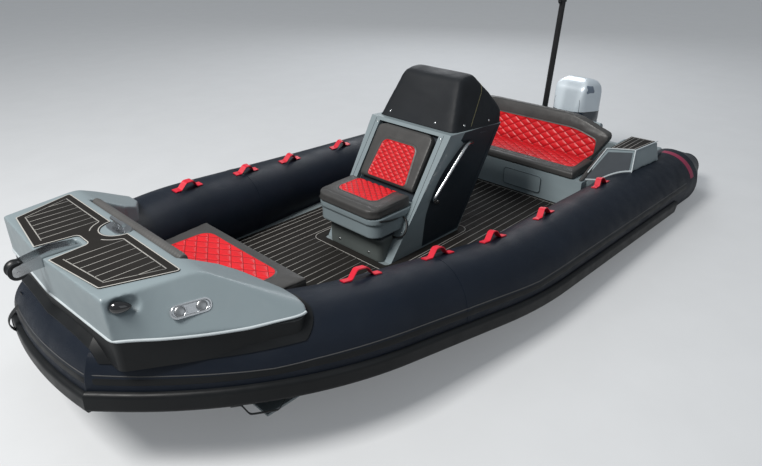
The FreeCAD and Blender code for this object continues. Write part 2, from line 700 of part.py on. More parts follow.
def build_console():
    """The leaning console, its cover, side panels, rails and front seat."""
    deck_z = HULL_TOP_Z + DECK_T
    shell = leaning(CONSOLE_BOTTOM, CONSOLE_TOP, deck_z, CONSOLE_TOP_Z)
    crown = side([(-700, CONSOLE_TOP_Z - CONSOLE_REAR_DROP - 8, 0), (CONSOLE_TOP[1] + 10, CONSOLE_TOP_Z, 0),
                  (CONSOLE_TOP[1] + 10, CONSOLE_TOP_Z + 50, 0), (-700, CONSOLE_TOP_Z + 50, 0)], -500, 500)
    lean = [(console_front(z) - d, z) for z, d in ((deck_z + 330, 46), (CONSOLE_TOP_Z - 20, 46))]
    bay = side([lean[0] + (0,), lean[1] + (0,), (lean[1][0] + 400, lean[1][1], 0), (1200, lean[1][1], 0),
                (1200, lean[0][1], 0)], -BAY_HALF, BAY_HALF)
    shell = shell.cut(crown).cut(bay)
    panels = []
    for y in (1, -1):
        inset = leaning(CONSOLE_BOTTOM, CONSOLE_TOP, deck_z, CONSOLE_TOP_Z).common(side(PANEL_SIDE, 0, y * TUBE_Y))
        panels.append(inset.cut(leaning(CONSOLE_BOTTOM, CONSOLE_TOP, deck_z, CONSOLE_TOP_Z, -PANEL_SKIN)))
    for panel in panels:
        shell = shell.cut(panel)
    save("console", max(shell.Solids, key=lambda s: s.Volume))
    save("console_panels", Part.makeCompound(panels))
    cover = side([(CONSOLE_TOP[1] - 4, CONSOLE_TOP_Z + 2, 0), (COVER_RIDGE_X + 62, COVER_RIDGE_Z - 22, 60),
                  (COVER_RIDGE_X - 80, COVER_RIDGE_Z, 60), (-400, 1112, 90), (-486, 1000, 40),
                  (CONSOLE_TOP[0] + 4, CONSOLE_TOP_Z - CONSOLE_REAR_DROP - 4, 0)], -500, 500)
    face = front([(-CONSOLE_TOP[2] + 2, 800, 0), (CONSOLE_TOP[2] - 2, 800, 0), (CONSOLE_TOP[2] - 2, 950, 60),
                  (COVER_RIDGE_HALF, COVER_RIDGE_Z + 10, 60), (-COVER_RIDGE_HALF, COVER_RIDGE_Z + 10, 60),
                  (-CONSOLE_TOP[2] + 2, 950, 60)], -700, 300)
    cover = cover.common(face).cut(shell)
    save("console_cover", max(cover.Solids, key=lambda s: s.Volume))
    build_rails()
    build_seat()


def build_rails():
    """The polished rails on the console's sides, bent back into the side panels at both ends."""
    (top_x, top_z), (low_x, low_z), (back, fall) = RAIL_TOP, RAIL_LOW, RAIL_TURN
    rows = [(console_side(top_x - back, top_z - fall / 2, SEAT_GAP), 0),
            (console_side(top_x, top_z, RAIL_OUT), 30), (console_side(low_x, low_z, RAIL_OUT), 30),
            (console_side(low_x - back, low_z - fall, SEAT_GAP), 0)]
    rail = disc_sweep(rounded_wire(rows), RAIL_R)
    save("grab_rails", both(trimmed(rail, [NODES["console"]] + NODES["console_panels"].Solids)))


def build_seat():
    """The seat's layered base, its cushion lid and its back."""
    deck_z = HULL_TOP_Z + DECK_T
    layers = []
    low = deck_z
    for high, setback, narrow, bend in SEAT_LAYERS:
        nose, half = SEAT_FRONT_X - setback, SEAT_HALF - narrow
        layers.append(plan([(SEAT_ROOT_X, -half), (nose, -half, bend), (nose, half, bend), (SEAT_ROOT_X, half)],
                           low, high))
        low = high
    seat = layers[0].fuse(layers[1:])
    _, setback, narrow, _ = SEAT_LAYERS[1]
    nose, half = SEAT_FRONT_X - setback - WALL, SEAT_HALF - narrow - WALL
    room = side([(nose, deck_z + WALL), (nose, SEAT_TOP_Z + WALL), (SEAT_REAR_X + 76, SEAT_TOP_Z + WALL),
                 (SEAT_REAR_X + 150, deck_z + WALL)], -half, half)
    seat = seat.cut(room).cut(leaning(CONSOLE_BOTTOM, CONSOLE_TOP, deck_z, CONSOLE_TOP_Z))
    save("seat_base", max(seat.Solids, key=lambda s: s.Volume))
    low = SEAT_TOP_Z + SEAT_GAP
    back_x = console_front(low + SEAT_CUSHION_T) + 30
    pad = side([(SEAT_FRONT_X + 12, low), (SEAT_FRONT_X + 16, low + 66, 20),
                (back_x + 20, low + SEAT_CUSHION_T, 20), (back_x + 30, low, 0)], -SEAT_HALF, SEAT_HALF)
    crown = plan([(SEAT_ROOT_X, -SEAT_HALF), (SEAT_FRONT_X + 14, -SEAT_HALF, 85), (SEAT_FRONT_X + 14, SEAT_HALF, 85),
                  (SEAT_ROOT_X, SEAT_HALF)], low, low + SEAT_CUSHION_T)
    save("seat_cushion", pad.common(crown))
    z0, z1 = low + 60, CONSOLE_TOP_Z - 26
    rest = side([(console_front(z0) - 45.5, z0, 10), (console_front(z1) - 45.5, z1, 20),
                 (console_front(z1) + 22, z1 + 8, 26), (console_front(z0) + 22, z0, 20)],
                -SEAT_BACK_HALF, SEAT_BACK_HALF)
    save("seat_back", rest)


def build_bench():
    """The stern bench with its hatch, cushions, back and the steps beside it."""
    deck_z = HULL_TOP_Z + DECK_T
    base = box(BENCH_FRONT_X, -1560, -BENCH_HALF - 60, BENCH_HALF + 60, deck_z, BENCH_TOP_Z)
    wall = side([(BACK_TOP_X - BACK_T - 10, BACK_TOP_Z - 60, 10), (BENCH_REAR_X - BACK_T, BENCH_TOP_Z, 0),
                 (-1560, BENCH_TOP_Z, 0), (-1560, BACK_TOP_Z - 90, 20)], -BACK_FOOT_HALF + 10, BACK_FOOT_HALF - 10)
    room = box(BENCH_FRONT_X - WALL, BENCH_REAR_X + WALL, -BENCH_HALF + 80, BENCH_HALF - 80,
               deck_z + WALL, BENCH_TOP_Z + 10)
    way = box(BENCH_FRONT_X - 50, BENCH_FRONT_X + 10, HATCH_Y - HATCH_HALF_W + 20, HATCH_Y + HATCH_HALF_W - 20,
              HATCH_Z[0] + 20, HATCH_Z[1] - 20)
    base = trimmed(base.cut(room).cut(way), TUBES).fuse(wall).removeSplitter()
    save("bench_base", base)
    hatch = front([(HATCH_Y - HATCH_HALF_W, HATCH_Z[0], 24), (HATCH_Y + HATCH_HALF_W, HATCH_Z[0], 24),
                   (HATCH_Y + HATCH_HALF_W, HATCH_Z[1], 24), (HATCH_Y - HATCH_HALF_W, HATCH_Z[1], 24)],
                  BENCH_FRONT_X + SEAT_GAP, BENCH_FRONT_X + SEAT_GAP + HATCH_T)
    save("bench_hatch", hatch)
    low = BENCH_TOP_Z + SEAT_GAP
    pad = side([(BENCH_FRONT_X + 14, low, 20), (BENCH_FRONT_X + 14, low + BENCH_CUSHION_T, 26),
                (BENCH_REAR_X + 8, low + BENCH_CUSHION_T + 20, 20), (BENCH_REAR_X + 8, low, 0)],
               -BENCH_HALF + 10, BENCH_HALF - 10)
    save("bench_cushion", trimmed(pad, TUBES_CLEAR))
    slab = side([(BENCH_REAR_X, low + 0.3, 10), (BACK_TOP_X, BACK_TOP_Z, 30), (BACK_TOP_X - BACK_T, BACK_TOP_Z, 30),
                 (BENCH_REAR_X - BACK_T, low + 0.3, 10)], -900, 900)
    arch = front([(-BACK_FOOT_HALF, BENCH_TOP_Z), (BACK_FOOT_HALF, BENCH_TOP_Z), (BACK_HALF, BACK_END_Z, 45),
                  (400, BACK_TOP_Z + 2, 900), (-400, BACK_TOP_Z + 2, 900), (-BACK_HALF, BACK_END_Z, 45)],
                 BACK_TOP_X - 2 * BACK_T, BENCH_REAR_X + BACK_T)
    back = trimmed(slab.common(arch), TUBES + [base])
    save("bench_back", back)
    build_steps(base, back)


def ring_of(outline, z):
    """A closed wire of straight runs at one height."""
    corners = [Vector(x, y, z) for x, y in outline]
    return Part.makePolygon(corners + corners[:1])


def build_steps(base, back):
    """The stepped mouldings on the stern tubes, their foam and the soft rolls beside the bench."""
    crown = Part.makeLoft([ring_of(STEP_FOOT, STEP_FOOT_Z), ring_of(STEP_TOP, STEP_TOP_Z)], True, True)
    skirt = plan(STEP_FOOT, HULL_TOP_Z + DECK_T, STEP_FOOT_Z)
    shelf = box(TRANSOM_X + TRANSOM_T, STEP_FOOT[3][0], PLATFORM_HALF, STEP_TOP[1][1], HULL_TOP_Z + DECK_T, PLATFORM_Z)
    step = trimmed(crown.fuse([skirt, shelf]).removeSplitter(), TUBES + [base, back, NODES["transom"]])
    cheek = capsule(Vector(*CHEEK_ENDS[0]), Vector(*CHEEK_ENDS[1]), CHEEK_R)
    save("bench_cheeks", both(trimmed(cheek, TUBES + [base, back])))
    save("stern_steps", both(trimmed(step, [cheek])))
    mat = Part.Face(ring_of(STEP_TOP, STEP_TOP_Z)).makeOffset2D(-STEP_EDGE).extrude(Vector(0, 0, FOAM_T))
    save("step_foam", both(mat))


def build_pole():
    """The tow pole behind the bench, with its collar and hook."""
    deck_z = HULL_TOP_Z + DECK_T
    foot = Part.makeCylinder(48, 12, Vector(POLE_X, 0, deck_z))
    up = Vector(-math.sin(math.radians(POLE_LEAN)), 0, math.cos(math.radians(POLE_LEAN)))
    start = Vector(POLE_X, 0, deck_z + 6)
    pole = Part.makeCylinder(POLE_R, POLE_LENGTH, start, up)
    collar = Part.makeCylinder(POLE_R + 6, 26, start + up * (POLE_LENGTH - 110), up)
    top = start + up * (POLE_LENGTH - 97)
    ring = rounded_wire([(top + Vector(0, 0, 22), 0), (top + Vector(POLE_R + 44, 0, 22), 22),
                         (top + Vector(POLE_R + 44, 0, -22), 22), (top + Vector(0, 0, -22), 0)])
    hook = disc_sweep(ring, 6)
    save("tow_pole", pole.fuse([foot, collar, hook]).removeSplitter())


def build_engine():
    """The outboard: clamp bracket, swivel, cowl, power block, leg and propeller."""
    half = BRACKET_HALF
    plate = side([(TRANSOM_X + TRANSOM_T + 20, TRANSOM_TOP_Z + 30, 12), (TRANSOM_X + TRANSOM_T + 20, 190, 8),
                  (TRANSOM_X + TRANSOM_T, 190, 0), (TRANSOM_X + TRANSOM_T, TRANSOM_TOP_Z, 0),
                  (TRANSOM_X, TRANSOM_TOP_Z, 0), (TRANSOM_X, -140, 12), (TRANSOM_X - 70, -140, 40),
                  (TRANSOM_X - 110, 60, 60), (TILT_X - 50, TILT_Z + 36, 40), (TILT_X + 45, TILT_Z + 36, 40)],
                 half - BRACKET_PLATE_T, half)
    tube = rod(Vector(TILT_X, -half - 12, TILT_Z), Vector(TILT_X, half + 12, TILT_Z), 17)
    cross = box(TRANSOM_X - 22, TRANSOM_X, -half, half, -135, -95)
    save("clamp_bracket", plate.fuse([flip(plate), tube, cross]).removeSplitter())
    inner = half - BRACKET_PLATE_T - MOVE_GAP
    hub = rod(Vector(TILT_X, -inner, TILT_Z), Vector(TILT_X, inner, TILT_Z), 34)
    hub = hub.cut(rod(Vector(TILT_X, -inner - 5, TILT_Z), Vector(TILT_X, inner + 5, TILT_Z), 17.5))
    bridge = box(STEER_X + 20, TILT_X - 25, -70, 70, TILT_Z - 24, TILT_Z + 24)
    post = Part.makeCylinder(44, 300, Vector(STEER_X, 0, TILT_Z - 256))
    post = post.cut(Part.makeCylinder(22, 400, Vector(STEER_X, 0, TILT_Z - 300)))
    bridge = bridge.cut(Part.makeCylinder(22, 400, Vector(STEER_X, 0, TILT_Z - 300)))
    save("swivel_bracket", hub.fuse([bridge, post]).removeSplitter())
    pin = Part.makeCylinder(21.7, 400, Vector(STEER_X, 0, TILT_Z - 300))
    arm_top = box(LEG_X - 60, STEER_X + 30, -60, 60, TILT_Z + 52, COWL_BASE_Z - 4)
    arm_low = box(LEG_X, STEER_X + 30, -45, 45, TILT_Z - 330, TILT_Z - 268)
    leg = plan([(LEG_X - 120, -52, 40), (LEG_X - 120, 52, 40), (LEG_X + 105, 64, 50), (LEG_X + 105, -64, 50)],
               PLATE_Z + 60, COWL_BASE_Z - 4)
    strut = plan([(LEG_X - 120, -24, 20), (LEG_X - 120, 24, 20), (LEG_X + 80, 36, 30), (LEG_X + 80, -36, 30)],
                 PROP_Z, PLATE_Z + 80)
    plate = plan([(PROP_X - 60, -105, 60), (PROP_X - 60, 105, 60), (LEG_X + 60, 75, 60), (LEG_X + 60, -75, 60)],
                 PLATE_Z - 6, PLATE_Z + 6)
    case = rod(Vector(PROP_X + 60, 0, PROP_Z), Vector(LEG_X + 60, 0, PROP_Z), GEARCASE_R)
    bullet = Part.makeCone(GEARCASE_R, 14, 130, Vector(LEG_X + 60, 0, PROP_Z), Vector(1, 0, 0))
    skeg = side([(LEG_X - 60, PROP_Z, 0), (LEG_X + 60, PROP_Z, 0), (LEG_X - 30, SKEG_Z, 20),
                 (LEG_X - 110, SKEG_Z, 20)], -7, 7)
    pan = cowl_shape(0.0).common(box(-3000, 0, -500, 500, COWL_BASE_Z, COWL_BASE_Z + PAN_T))
    pan.translate(Vector(0, 0, -PAN_T - SEAT_GAP))
    leg = leg.fuse([arm_top, arm_low, pin, strut, plate, case, bullet, skeg, pan]).removeSplitter()
    shaft = rod(Vector(PROP_X - 75, 0, PROP_Z), Vector(PROP_X + 80, 0, PROP_Z), 12)
    save("engine_leg", leg.fuse(shaft).removeSplitter())
    outer = cowl_shape(0.0)
    cowl = outer.cut(cowl_shape(COWL_WALL))
    save("engine_cowl", max(cowl.Solids, key=lambda s: s.Volume))
    block = box(COWL_REAR_X + 110, COWL_FRONT_X - 110, -115, 115, COWL_BASE_Z, COWL_TOP_Z - 130)
    save("power_block", block)
    hub = Part.makeCylinder(46, 110, Vector(PROP_X - 60, 0, PROP_Z), Vector(1, 0, 0))
    blades = []
    for i in range(PROP_BLADES):
        blade = front([(-50, 40, 0), (50, 40, 0), (62, PROP_R - 40, 50), (20, PROP_R, 40), (-40, PROP_R - 30, 50)],
                      -3, 3)
        blade.rotate(Vector(0, 0, 0), Vector(0, 0, 1), 35)
        blade.rotate(Vector(0, 0, 0), Vector(1, 0, 0), i * 360 / PROP_BLADES)
        blade.translate(Vector(PROP_X - 5, 0, PROP_Z))
        blades.append(blade)
    prop = hub.fuse(blades).removeSplitter()
    prop = prop.cut(rod(Vector(PROP_X - 90, 0, PROP_Z), Vector(PROP_X + 90, 0, PROP_Z), 12.3))
    save("propeller", prop)


def cowl_shape(inset):
    """The engine's hood, as the overlap of its side and end outlines."""
    z0 = COWL_BASE_Z + (-10 if inset else 0)
    fore, aft, top, half = COWL_FRONT_X - inset, COWL_REAR_X + inset, COWL_TOP_Z - inset, COWL_HALF - inset
    lengthwise = side([(fore - 30, z0, 0), (fore, z0 + 120, 200), (fore - 60, top - 50, 110),
                       (fore - 190, top, 200), (aft + 120, top - 50, 140), (aft, z0 + 160, 200),
                       (aft + 40, z0, 0)], -400, 400)
    across = front([(-half + 24, z0, 0), (half - 24, z0, 0), (half, z0 + 130, 300), (half - 60, top + 4, 110),
                    (-half + 60, top + 4, 110), (-half, z0 + 130, 300)], aft - 50, fore + 50)
    above = plan([(fore, -half * 0.72, 110), (fore, half * 0.72, 110), (aft + 120, half, 190), (aft, half * 0.45, 65),
                  (aft, -half * 0.45, 65), (aft + 120, -half, 190)], z0, top + 20)
    return lengthwise.common(across).common(above)


def build_handles():
    """Red strap handles on the tubes, black carry loops at the bow, flush cleats and lamps."""
    port = []
    for fore, aft in HANDLE_FEET:
        port.append(strap(fore, aft))
    save("handles_port", Part.makeCompound(port))
    save("handles_starboard", Part.makeCompound([flip(h) for h in port]))


def line_at(x):
    """The point of the port tube's centre line at some x, and its direction."""
    rows = [(STERN, 0), (BEND, MID_BEND_R), (SHOULDER, SHOULDER_BEND_R), (CORNER, 0)]
    wire = rounded_wire(rows)
    for edge in wire.Edges:
        a, b = edge.valueAt(edge.FirstParameter), edge.valueAt(edge.LastParameter)
        if min(a.x, b.x) - 0.01 <= x <= max(a.x, b.x) + 0.01:
            low, high = edge.FirstParameter, edge.LastParameter
            rising = b.x > a.x
            for _ in range(40):
                mid = (low + high) / 2
                if (edge.valueAt(mid).x < x) == rising:
                    low = mid
                else:
                    high = mid
            point = edge.valueAt(mid)
            return point, edge.tangentAt(mid) * (1 if rising else -1)
    return STERN, (BEND - STERN).normalize()


def strap(fore, aft, tilt=HANDLE_LEAN):
    """One strap handle: two glued feet and an arch between them. The tilt is inboard from the tube's top."""
    a, along = line_at(aft)
    b, _ = line_at(fore)
    lean = math.radians(tilt)
    ahead = (b - a).normalize()
    across = Vector(0, 0, 1).cross(ahead).normalize()
    rise = (ahead.cross(across)).normalize()
    up = rise * math.cos(lean) - across * math.sin(lean)
    out = across * math.cos(lean) + rise * math.sin(lean)
    base = TUBE_R + 0.4
    foot = 46.0
    rows = [(a + up * base, 0), (a + up * base + ahead * foot, 14),
            (a + up * (base + HANDLE_RISE) + ahead * (foot + 34), 26),
            (b + up * (base + HANDLE_RISE) - ahead * (foot + 34), 26),
            (b + up * base - ahead * foot, 14), (b + up * base, 0)]
    thick = HANDLE_T
    rows += [(p + up * thick, r) for p, r in reversed(rows)]
    shape = Part.Face(rounded_wire(rows, True)).extrude(out * HANDLE_W)
    shape.translate(out * (-HANDLE_W / 2))
    return shape


BOLSTER_ROOM = box(BOLSTER_X - 400, BOLSTER_X + 26 + SEAT_GAP, -BOLSTER_HALF - SEAT_GAP, BOLSTER_HALF + SEAT_GAP,
                   CAP_UNDERSIDE[0][1] - 100, CAP_TOP_Z + 50)
NOTCH = box(NOTCH_X, CAP_FRONT_X + 200, -38, 38, NOTCH_Z, CAP_TOP_Z + 50)
LAMP_WALL, LAMP_ALONG, LAMP_UP, LAMP_OUT = wall_frame(*LAMP_AT)
LAMP_POCKET = LAMP_WALL + LAMP_OUT * (POCKET_R - POCKET_DEPTH)
NAV_POCKETS = both(capsule(LAMP_POCKET, LAMP_POCKET + LAMP_ALONG * POCKET_RUN, POCKET_R))

build_tubes()
build_strake()
build_hull()
build_cap()
build_bow_fittings()
build_lamps()
build_locker()
build_console()
build_bench()
build_pole()
build_engine()
build_handles()
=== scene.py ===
from contextlib import contextmanager
import json
import math

import bmesh
import bpy
import numpy as np
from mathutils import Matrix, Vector, noise
from mathutils.bvhtree import BVHTree


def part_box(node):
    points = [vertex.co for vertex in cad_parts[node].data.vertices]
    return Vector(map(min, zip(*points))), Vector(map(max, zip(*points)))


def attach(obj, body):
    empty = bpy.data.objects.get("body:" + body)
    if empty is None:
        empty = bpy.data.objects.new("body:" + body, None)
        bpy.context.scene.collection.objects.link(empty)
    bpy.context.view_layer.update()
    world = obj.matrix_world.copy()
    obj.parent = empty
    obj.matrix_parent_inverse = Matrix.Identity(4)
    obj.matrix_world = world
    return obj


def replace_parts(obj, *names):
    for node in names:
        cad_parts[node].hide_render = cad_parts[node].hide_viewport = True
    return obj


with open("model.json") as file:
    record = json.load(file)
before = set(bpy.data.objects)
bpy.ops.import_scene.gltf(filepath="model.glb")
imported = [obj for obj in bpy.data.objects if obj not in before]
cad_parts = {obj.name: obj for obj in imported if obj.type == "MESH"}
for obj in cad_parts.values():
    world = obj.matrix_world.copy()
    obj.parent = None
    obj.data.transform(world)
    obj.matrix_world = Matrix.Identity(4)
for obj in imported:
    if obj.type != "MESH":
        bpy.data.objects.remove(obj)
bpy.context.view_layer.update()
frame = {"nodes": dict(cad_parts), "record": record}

NODES = frame["nodes"]

# Camera, solved from mirrored pairs of points on the boat (metres, degrees, pixels of a 762 x 466 picture)
CAMERA_AT = (3.130, 2.642, 2.180)
CAMERA_YAW = -136.109
CAMERA_PITCH = 27.256
FOCAL_PX = 615.2
IMAGE_W = 762

# Linear colours that more than one material takes
RUBBER_BLACK = (0.009, 0.010, 0.011)
VINYL_GREY = (0.050, 0.049, 0.048)
VINYL_RED = (0.60, 0.010, 0.016)
STEEL = (0.47, 0.48, 0.49)


# Materials

TONE_RANGE = (0.3, 0.7)
GLOSS_RANGE = (0.3, 0.75)


class Net:
    """A material's node tree with short calls."""

    def __init__(self, name):
        self.mat = bpy.data.materials.new(name)
        self.mat.use_nodes = True
        self.tree = self.mat.node_tree
        self.shader = self.tree.nodes["Principled BSDF"]
        self.coord = self.tree.nodes.new("ShaderNodeTexCoord")

    def feed(self, socket, value):
        """Links another node's output to a socket, or sets a colour or a number on it."""
        if isinstance(value, bpy.types.NodeSocket):
            self.tree.links.new(value, socket)
        else:
            socket.default_value = (*value, 1) if socket.type == "RGBA" else value

    def made(self, kind, output, inputs=None, **settings):
        """An output of a new node with these inputs and settings."""
        node = self.tree.nodes.new("ShaderNode" + kind)
        for key, value in settings.items():
            setattr(node, key, value)
        for key, value in (inputs or {}).items():
            self.feed(node.inputs[key], value)
        return node.outputs[output]

    def noise(self, scale, detail=3.0, stretch=(1, 1, 1)):
        """Noise in object coordinates, in metres times stretch."""
        place = self.made("Mapping", 0, {"Vector": self.coord.outputs["Object"], "Scale": stretch})
        return self.made("TexNoise", "Fac", {"Scale": scale, "Detail": detail, "Vector": place})

    def ramp(self, source, low, high, to_low=0.0, to_high=1.0):
        return self.made("MapRange", "Result", {"Value": source, "From Min": low, "From Max": high,
                                                "To Min": to_low, "To Max": to_high})

    def math(self, kind, *values):
        return self.made("Math", 0, dict(enumerate(values)), operation=kind)

    def mix(self, factor, a, b):
        return self.made("Mix", 2, {0: factor, 6: a, 7: b}, data_type="RGBA")

    def bump(self, height, strength, distance, **below):
        inputs = {"Strength": strength, "Distance": distance, "Height": height}
        return self.made("Bump", "Normal", inputs | below)

    def shades(self, source, colour, darker, lighter):
        """A colour that wanders between a darker and a lighter share of itself."""
        return self.mix(self.ramp(source, *TONE_RANGE), scaled(colour, darker), scaled(colour, lighter))

    def gloss(self, scale, low, high):
        """A roughness that changes in smudges."""
        return self.ramp(self.noise(scale, 6.0), *GLOSS_RANGE, low, high)

    def done(self, **inputs):
        """Feeds the shader, with underscores for the spaces in its names, and gives the material."""
        for key, value in inputs.items():
            self.feed(self.shader.inputs[key.replace("_", " ")], value)
        return self.mat


def scaled(colour, factor):
    return tuple(min(1.0, c * factor) for c in colour)


def plain(name, colour, rough, grain=400.0, grain_depth=0.0002, spread=0.14, metallic=0.0, coat=0.0,
          smudge=0.08, coat_rough=0.1, dust=None, shine=0.5):
    """A surface with slow changes of tone, a fine grain, smudges in its gloss and worn, lighter edges."""
    net = Net(name)
    tone = net.shades(net.noise(3.0, 5.0), colour, 1 - spread, 1 + spread)
    if dust:
        tone = net.mix(net.ramp(net.noise(9.0, 8.0), 0.55, 0.8, 0.0, dust[1]), tone, dust[0])
    worn = net.ramp(net.made("NewGeometry", "Pointiness"), 0.52, 0.62, 0.0, 0.35)
    tone = net.mix(worn, tone, scaled(colour, 1.7))
    rub = net.gloss(14.0, max(0.02, rough - smudge), min(1.0, rough + smudge))
    return net.done(Base_Color=tone, Roughness=rub, Normal=net.bump(net.noise(grain, 2.0), 0.5, grain_depth),
                    Metallic=metallic, Coat_Weight=coat, Coat_Roughness=coat_rough, Specular_IOR_Level=shine)


def woven(name, colour, rough, thread=0.0011, depth=0.00025, dust=None, spread=0.15, shine=0.22):
    """Coated cloth: two crossed families of threads under a thin skin."""
    net = Net(name)
    tone = net.shades(net.noise(2.5, 5.0), colour, 1 - spread, 1 + spread)
    if dust:
        streaks = net.ramp(net.noise(5.0, 9.0, (1.0, 1.0, 2.4)), 0.5, 0.82, 0.0, dust[1])
        tone = net.mix(streaks, tone, dust[0])
    x, y, z = (net.made("SeparateXYZ", axis, {0: net.coord.outputs["Object"]}) for axis in range(3))
    turn = 2 * math.pi / thread
    along = net.math("SINE", net.math("MULTIPLY", x, turn))
    wrap = net.math("SINE", net.math("MULTIPLY", net.math("ADD", y, z), turn))
    fine = net.bump(net.math("MULTIPLY", along, wrap), 0.35, depth)
    return net.done(Base_Color=tone, Roughness=net.gloss(11.0, rough - 0.08, rough + 0.1),
                    Normal=net.bump(net.noise(7.0, 3.0), 0.25, 0.004, Normal=fine), Specular_IOR_Level=shine)


# Linear colour, roughness, scale and depth of the grain, and what differs from plain's own values
PLAIN = {
    "strake_rubber": (RUBBER_BLACK, 0.42, 260.0, 0.0003, dict(dust=((0.018, 0.018, 0.019), 0.25), shine=0.18)),
    "hull_paint": ((0.17, 0.20, 0.21), 0.4, 700.0, 0.00015, {}),
    "gelcoat_grey": ((0.205, 0.250, 0.268), 0.40, 500.0, 0.00004,
                     dict(spread=0.05, coat=0.08, smudge=0.05, dust=((0.30, 0.32, 0.32), 0.10), shine=0.4)),
    "dark_panel": ((0.014, 0.020, 0.027), 0.36, 900.0, 0.0002, dict(shine=0.3)),
    "deck_foam": ((0.013, 0.012, 0.011), 0.78, 1400.0, 0.0004, dict(shine=0.12)),
    "cushion_vinyl": (VINYL_GREY, 0.5, 800.0, 0.0003, dict(shine=0.35)),
    "bolster_vinyl": (scaled(VINYL_GREY, 1.5), 0.55, 800.0, 0.0003, dict(shine=0.4)),
    "polished_steel": (STEEL, 0.22, 30.0, 0.00002, dict(spread=0.03, metallic=1.0, smudge=0.04)),
    "brushed_steel": (scaled(STEEL, 0.8), 0.32, 500.0, 0.00003, dict(spread=0.05, metallic=1.0, smudge=0.04)),
    "black_paint": ((0.010, 0.010, 0.011), 0.32, 500.0, 0.0002, {}),
    "handle_red": ((0.50, 0.008, 0.025), 0.44, 700.0, 0.0003, {}),
    "handle_black": (RUBBER_BLACK, 0.5, 700.0, 0.0003, {}),
    "lamp_lens": ((0.008, 0.008, 0.009), 0.08, 50.0, 0.00005, dict(coat=1.0, coat_rough=0.03)),
    "engine_silver": ((0.76, 0.84, 0.90), 0.30, 1500.0, 0.00001,
                      dict(spread=0.03, metallic=0.2, coat=0.5, smudge=0.02, coat_rough=0.08)),
    "engine_block": ((0.10, 0.10, 0.10), 0.6, 200.0, 0.0005, {}),
    "roller_rubber": (RUBBER_BLACK, 0.4, 300.0, 0.0002, {}),
    "seam_thread": ((0.14, 0.13, 0.06), 0.7, 900.0, 0.0003, {}),
    "foam_line": ((0.34, 0.33, 0.31), 0.75, 1200.0, 0.0003, {}),
    "hood_skirt": ((0.014, 0.026, 0.042), 0.3, 900.0, 0.00005, dict(coat=0.3)),
    "hood_window": ((0.16, 0.21, 0.28), 0.22, 900.0, 0.00005, dict(coat=0.4)),
    "tape_edge": ((0.055, 0.055, 0.055), 0.5, 500.0, 0.0002, {}),
    "stripe_red": ((0.26, 0.012, 0.055), 0.45, 700.0, 0.0002, {}),
    "pale_fabric": ((0.16, 0.18, 0.21), 0.5, 700.0, 0.0002, {}),
    "plinth_grey": ((0.085, 0.098, 0.095), 0.45, 500.0, 0.0001, dict(shine=0.4)),
    "step_dark": ((0.045, 0.052, 0.060), 0.5, 900.0, 0.0002, dict(shine=0.4)),
    # A lighter copy of the gelcoat: painted highlight on lips, flanges and edges
    "gelcoat_painted_highlight": ((0.42, 0.46, 0.48), 0.4, 500.0, 0.00005, {}),
    "propeller_metal": ((0.06, 0.06, 0.065), 0.3, 300.0, 0.0002, dict(metallic=0.6)),
}
MATERIALS = {name: plain(name, *row[:4], **row[4]) for name, row in PLAIN.items()}
MATERIALS["tube_fabric"] = woven("tube_fabric", (0.0055, 0.0092, 0.0170), 0.46,
                                 dust=((0.018, 0.023, 0.030), 0.25))
MATERIALS["cover_cloth"] = woven("cover_cloth", (0.012, 0.014, 0.017), 0.55, 0.0014)


def dress(obj, *names):
    obj.data.materials.clear()
    for name in names:
        obj.data.materials.append(MATERIALS[name])


def placed(piece, slot, body="root", *materials):
    """Gives a piece its materials, which are the slot's own unless named, and its body."""
    dress(piece, *(materials or (slot,)))
    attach(piece, body)
    return piece


SLOT_OF = {row["node"]: row["material_slot"] for row in frame["record"]["subparts"]}
for node_name, node in NODES.items():
    dress(node, SLOT_OF[node_name])


# Cushions

PAD_VOXEL = 0.009
PAD_START = 0.0035
PAD_FRAMES = 20
PAD_PRESSURE = 4.0
PAD_REST_SHARE = 0.22
CHANNEL_DEPTH = 0.0042
CHANNEL_WIDTH = 0.0065
PUFF = 0.0022
PIPING_RISE = 0.0030
PIPING_WIDTH = 0.0036
RIB_DEPTH = 0.0022
SIDE_SEAM_DEPTH = 0.0016
SIDE_SEAM_WIDTH = 0.0045
PAD_LABELS = ("pad_edge", "pad_a", "pad_b")


def linked(name, data):
    """A new object in the scene, with this mesh, lamp or camera."""
    made = bpy.data.objects.new(name, data)
    bpy.context.scene.collection.objects.link(made)
    return made


@contextmanager
def edited(mesh):
    """A mesh's editable form, which is written back at the end."""
    work = bmesh.new()
    work.from_mesh(mesh)
    yield work
    work.to_mesh(mesh)
    work.free()


def copy_of(node_name, name):
    """A new object with a CAD node's mesh, its double points welded."""
    mesh = NODES[node_name].data.copy()
    mesh.transform(NODES[node_name].matrix_world)
    with edited(mesh) as work:
        bmesh.ops.remove_doubles(work, verts=work.verts, dist=1e-5)
    mesh.materials.clear()
    return linked(name, mesh)


def bake(obj):
    """Puts the result of an object's modifiers into its mesh."""
    graph = bpy.context.evaluated_depsgraph_get()
    made = bpy.data.meshes.new_from_object(obj.evaluated_get(graph))
    obj.modifiers.clear()
    obj.data = made


def points_of(mesh, what="co"):
    """The mesh's points, or their normals, as rows."""
    flat = np.empty(len(mesh.vertices) * 3)
    mesh.vertices.foreach_get(what, flat)
    return flat.reshape(-1, 3)


def move_to(mesh, points):
    mesh.vertices.foreach_set("co", points.ravel())
    mesh.update()


def smoothed(obj, rounds, factor=0.5):
    step = obj.modifiers.new("smooth", "SMOOTH")
    step.iterations = rounds
    step.factor = factor
    bake(obj)


def remeshed(obj, voxel, rounds):
    """Even quads over the whole object, with its hard corners eased."""
    step = obj.modifiers.new("even", "REMESH")
    step.mode = "VOXEL"
    step.voxel_size = voxel
    bake(obj)
    smoothed(obj, rounds)


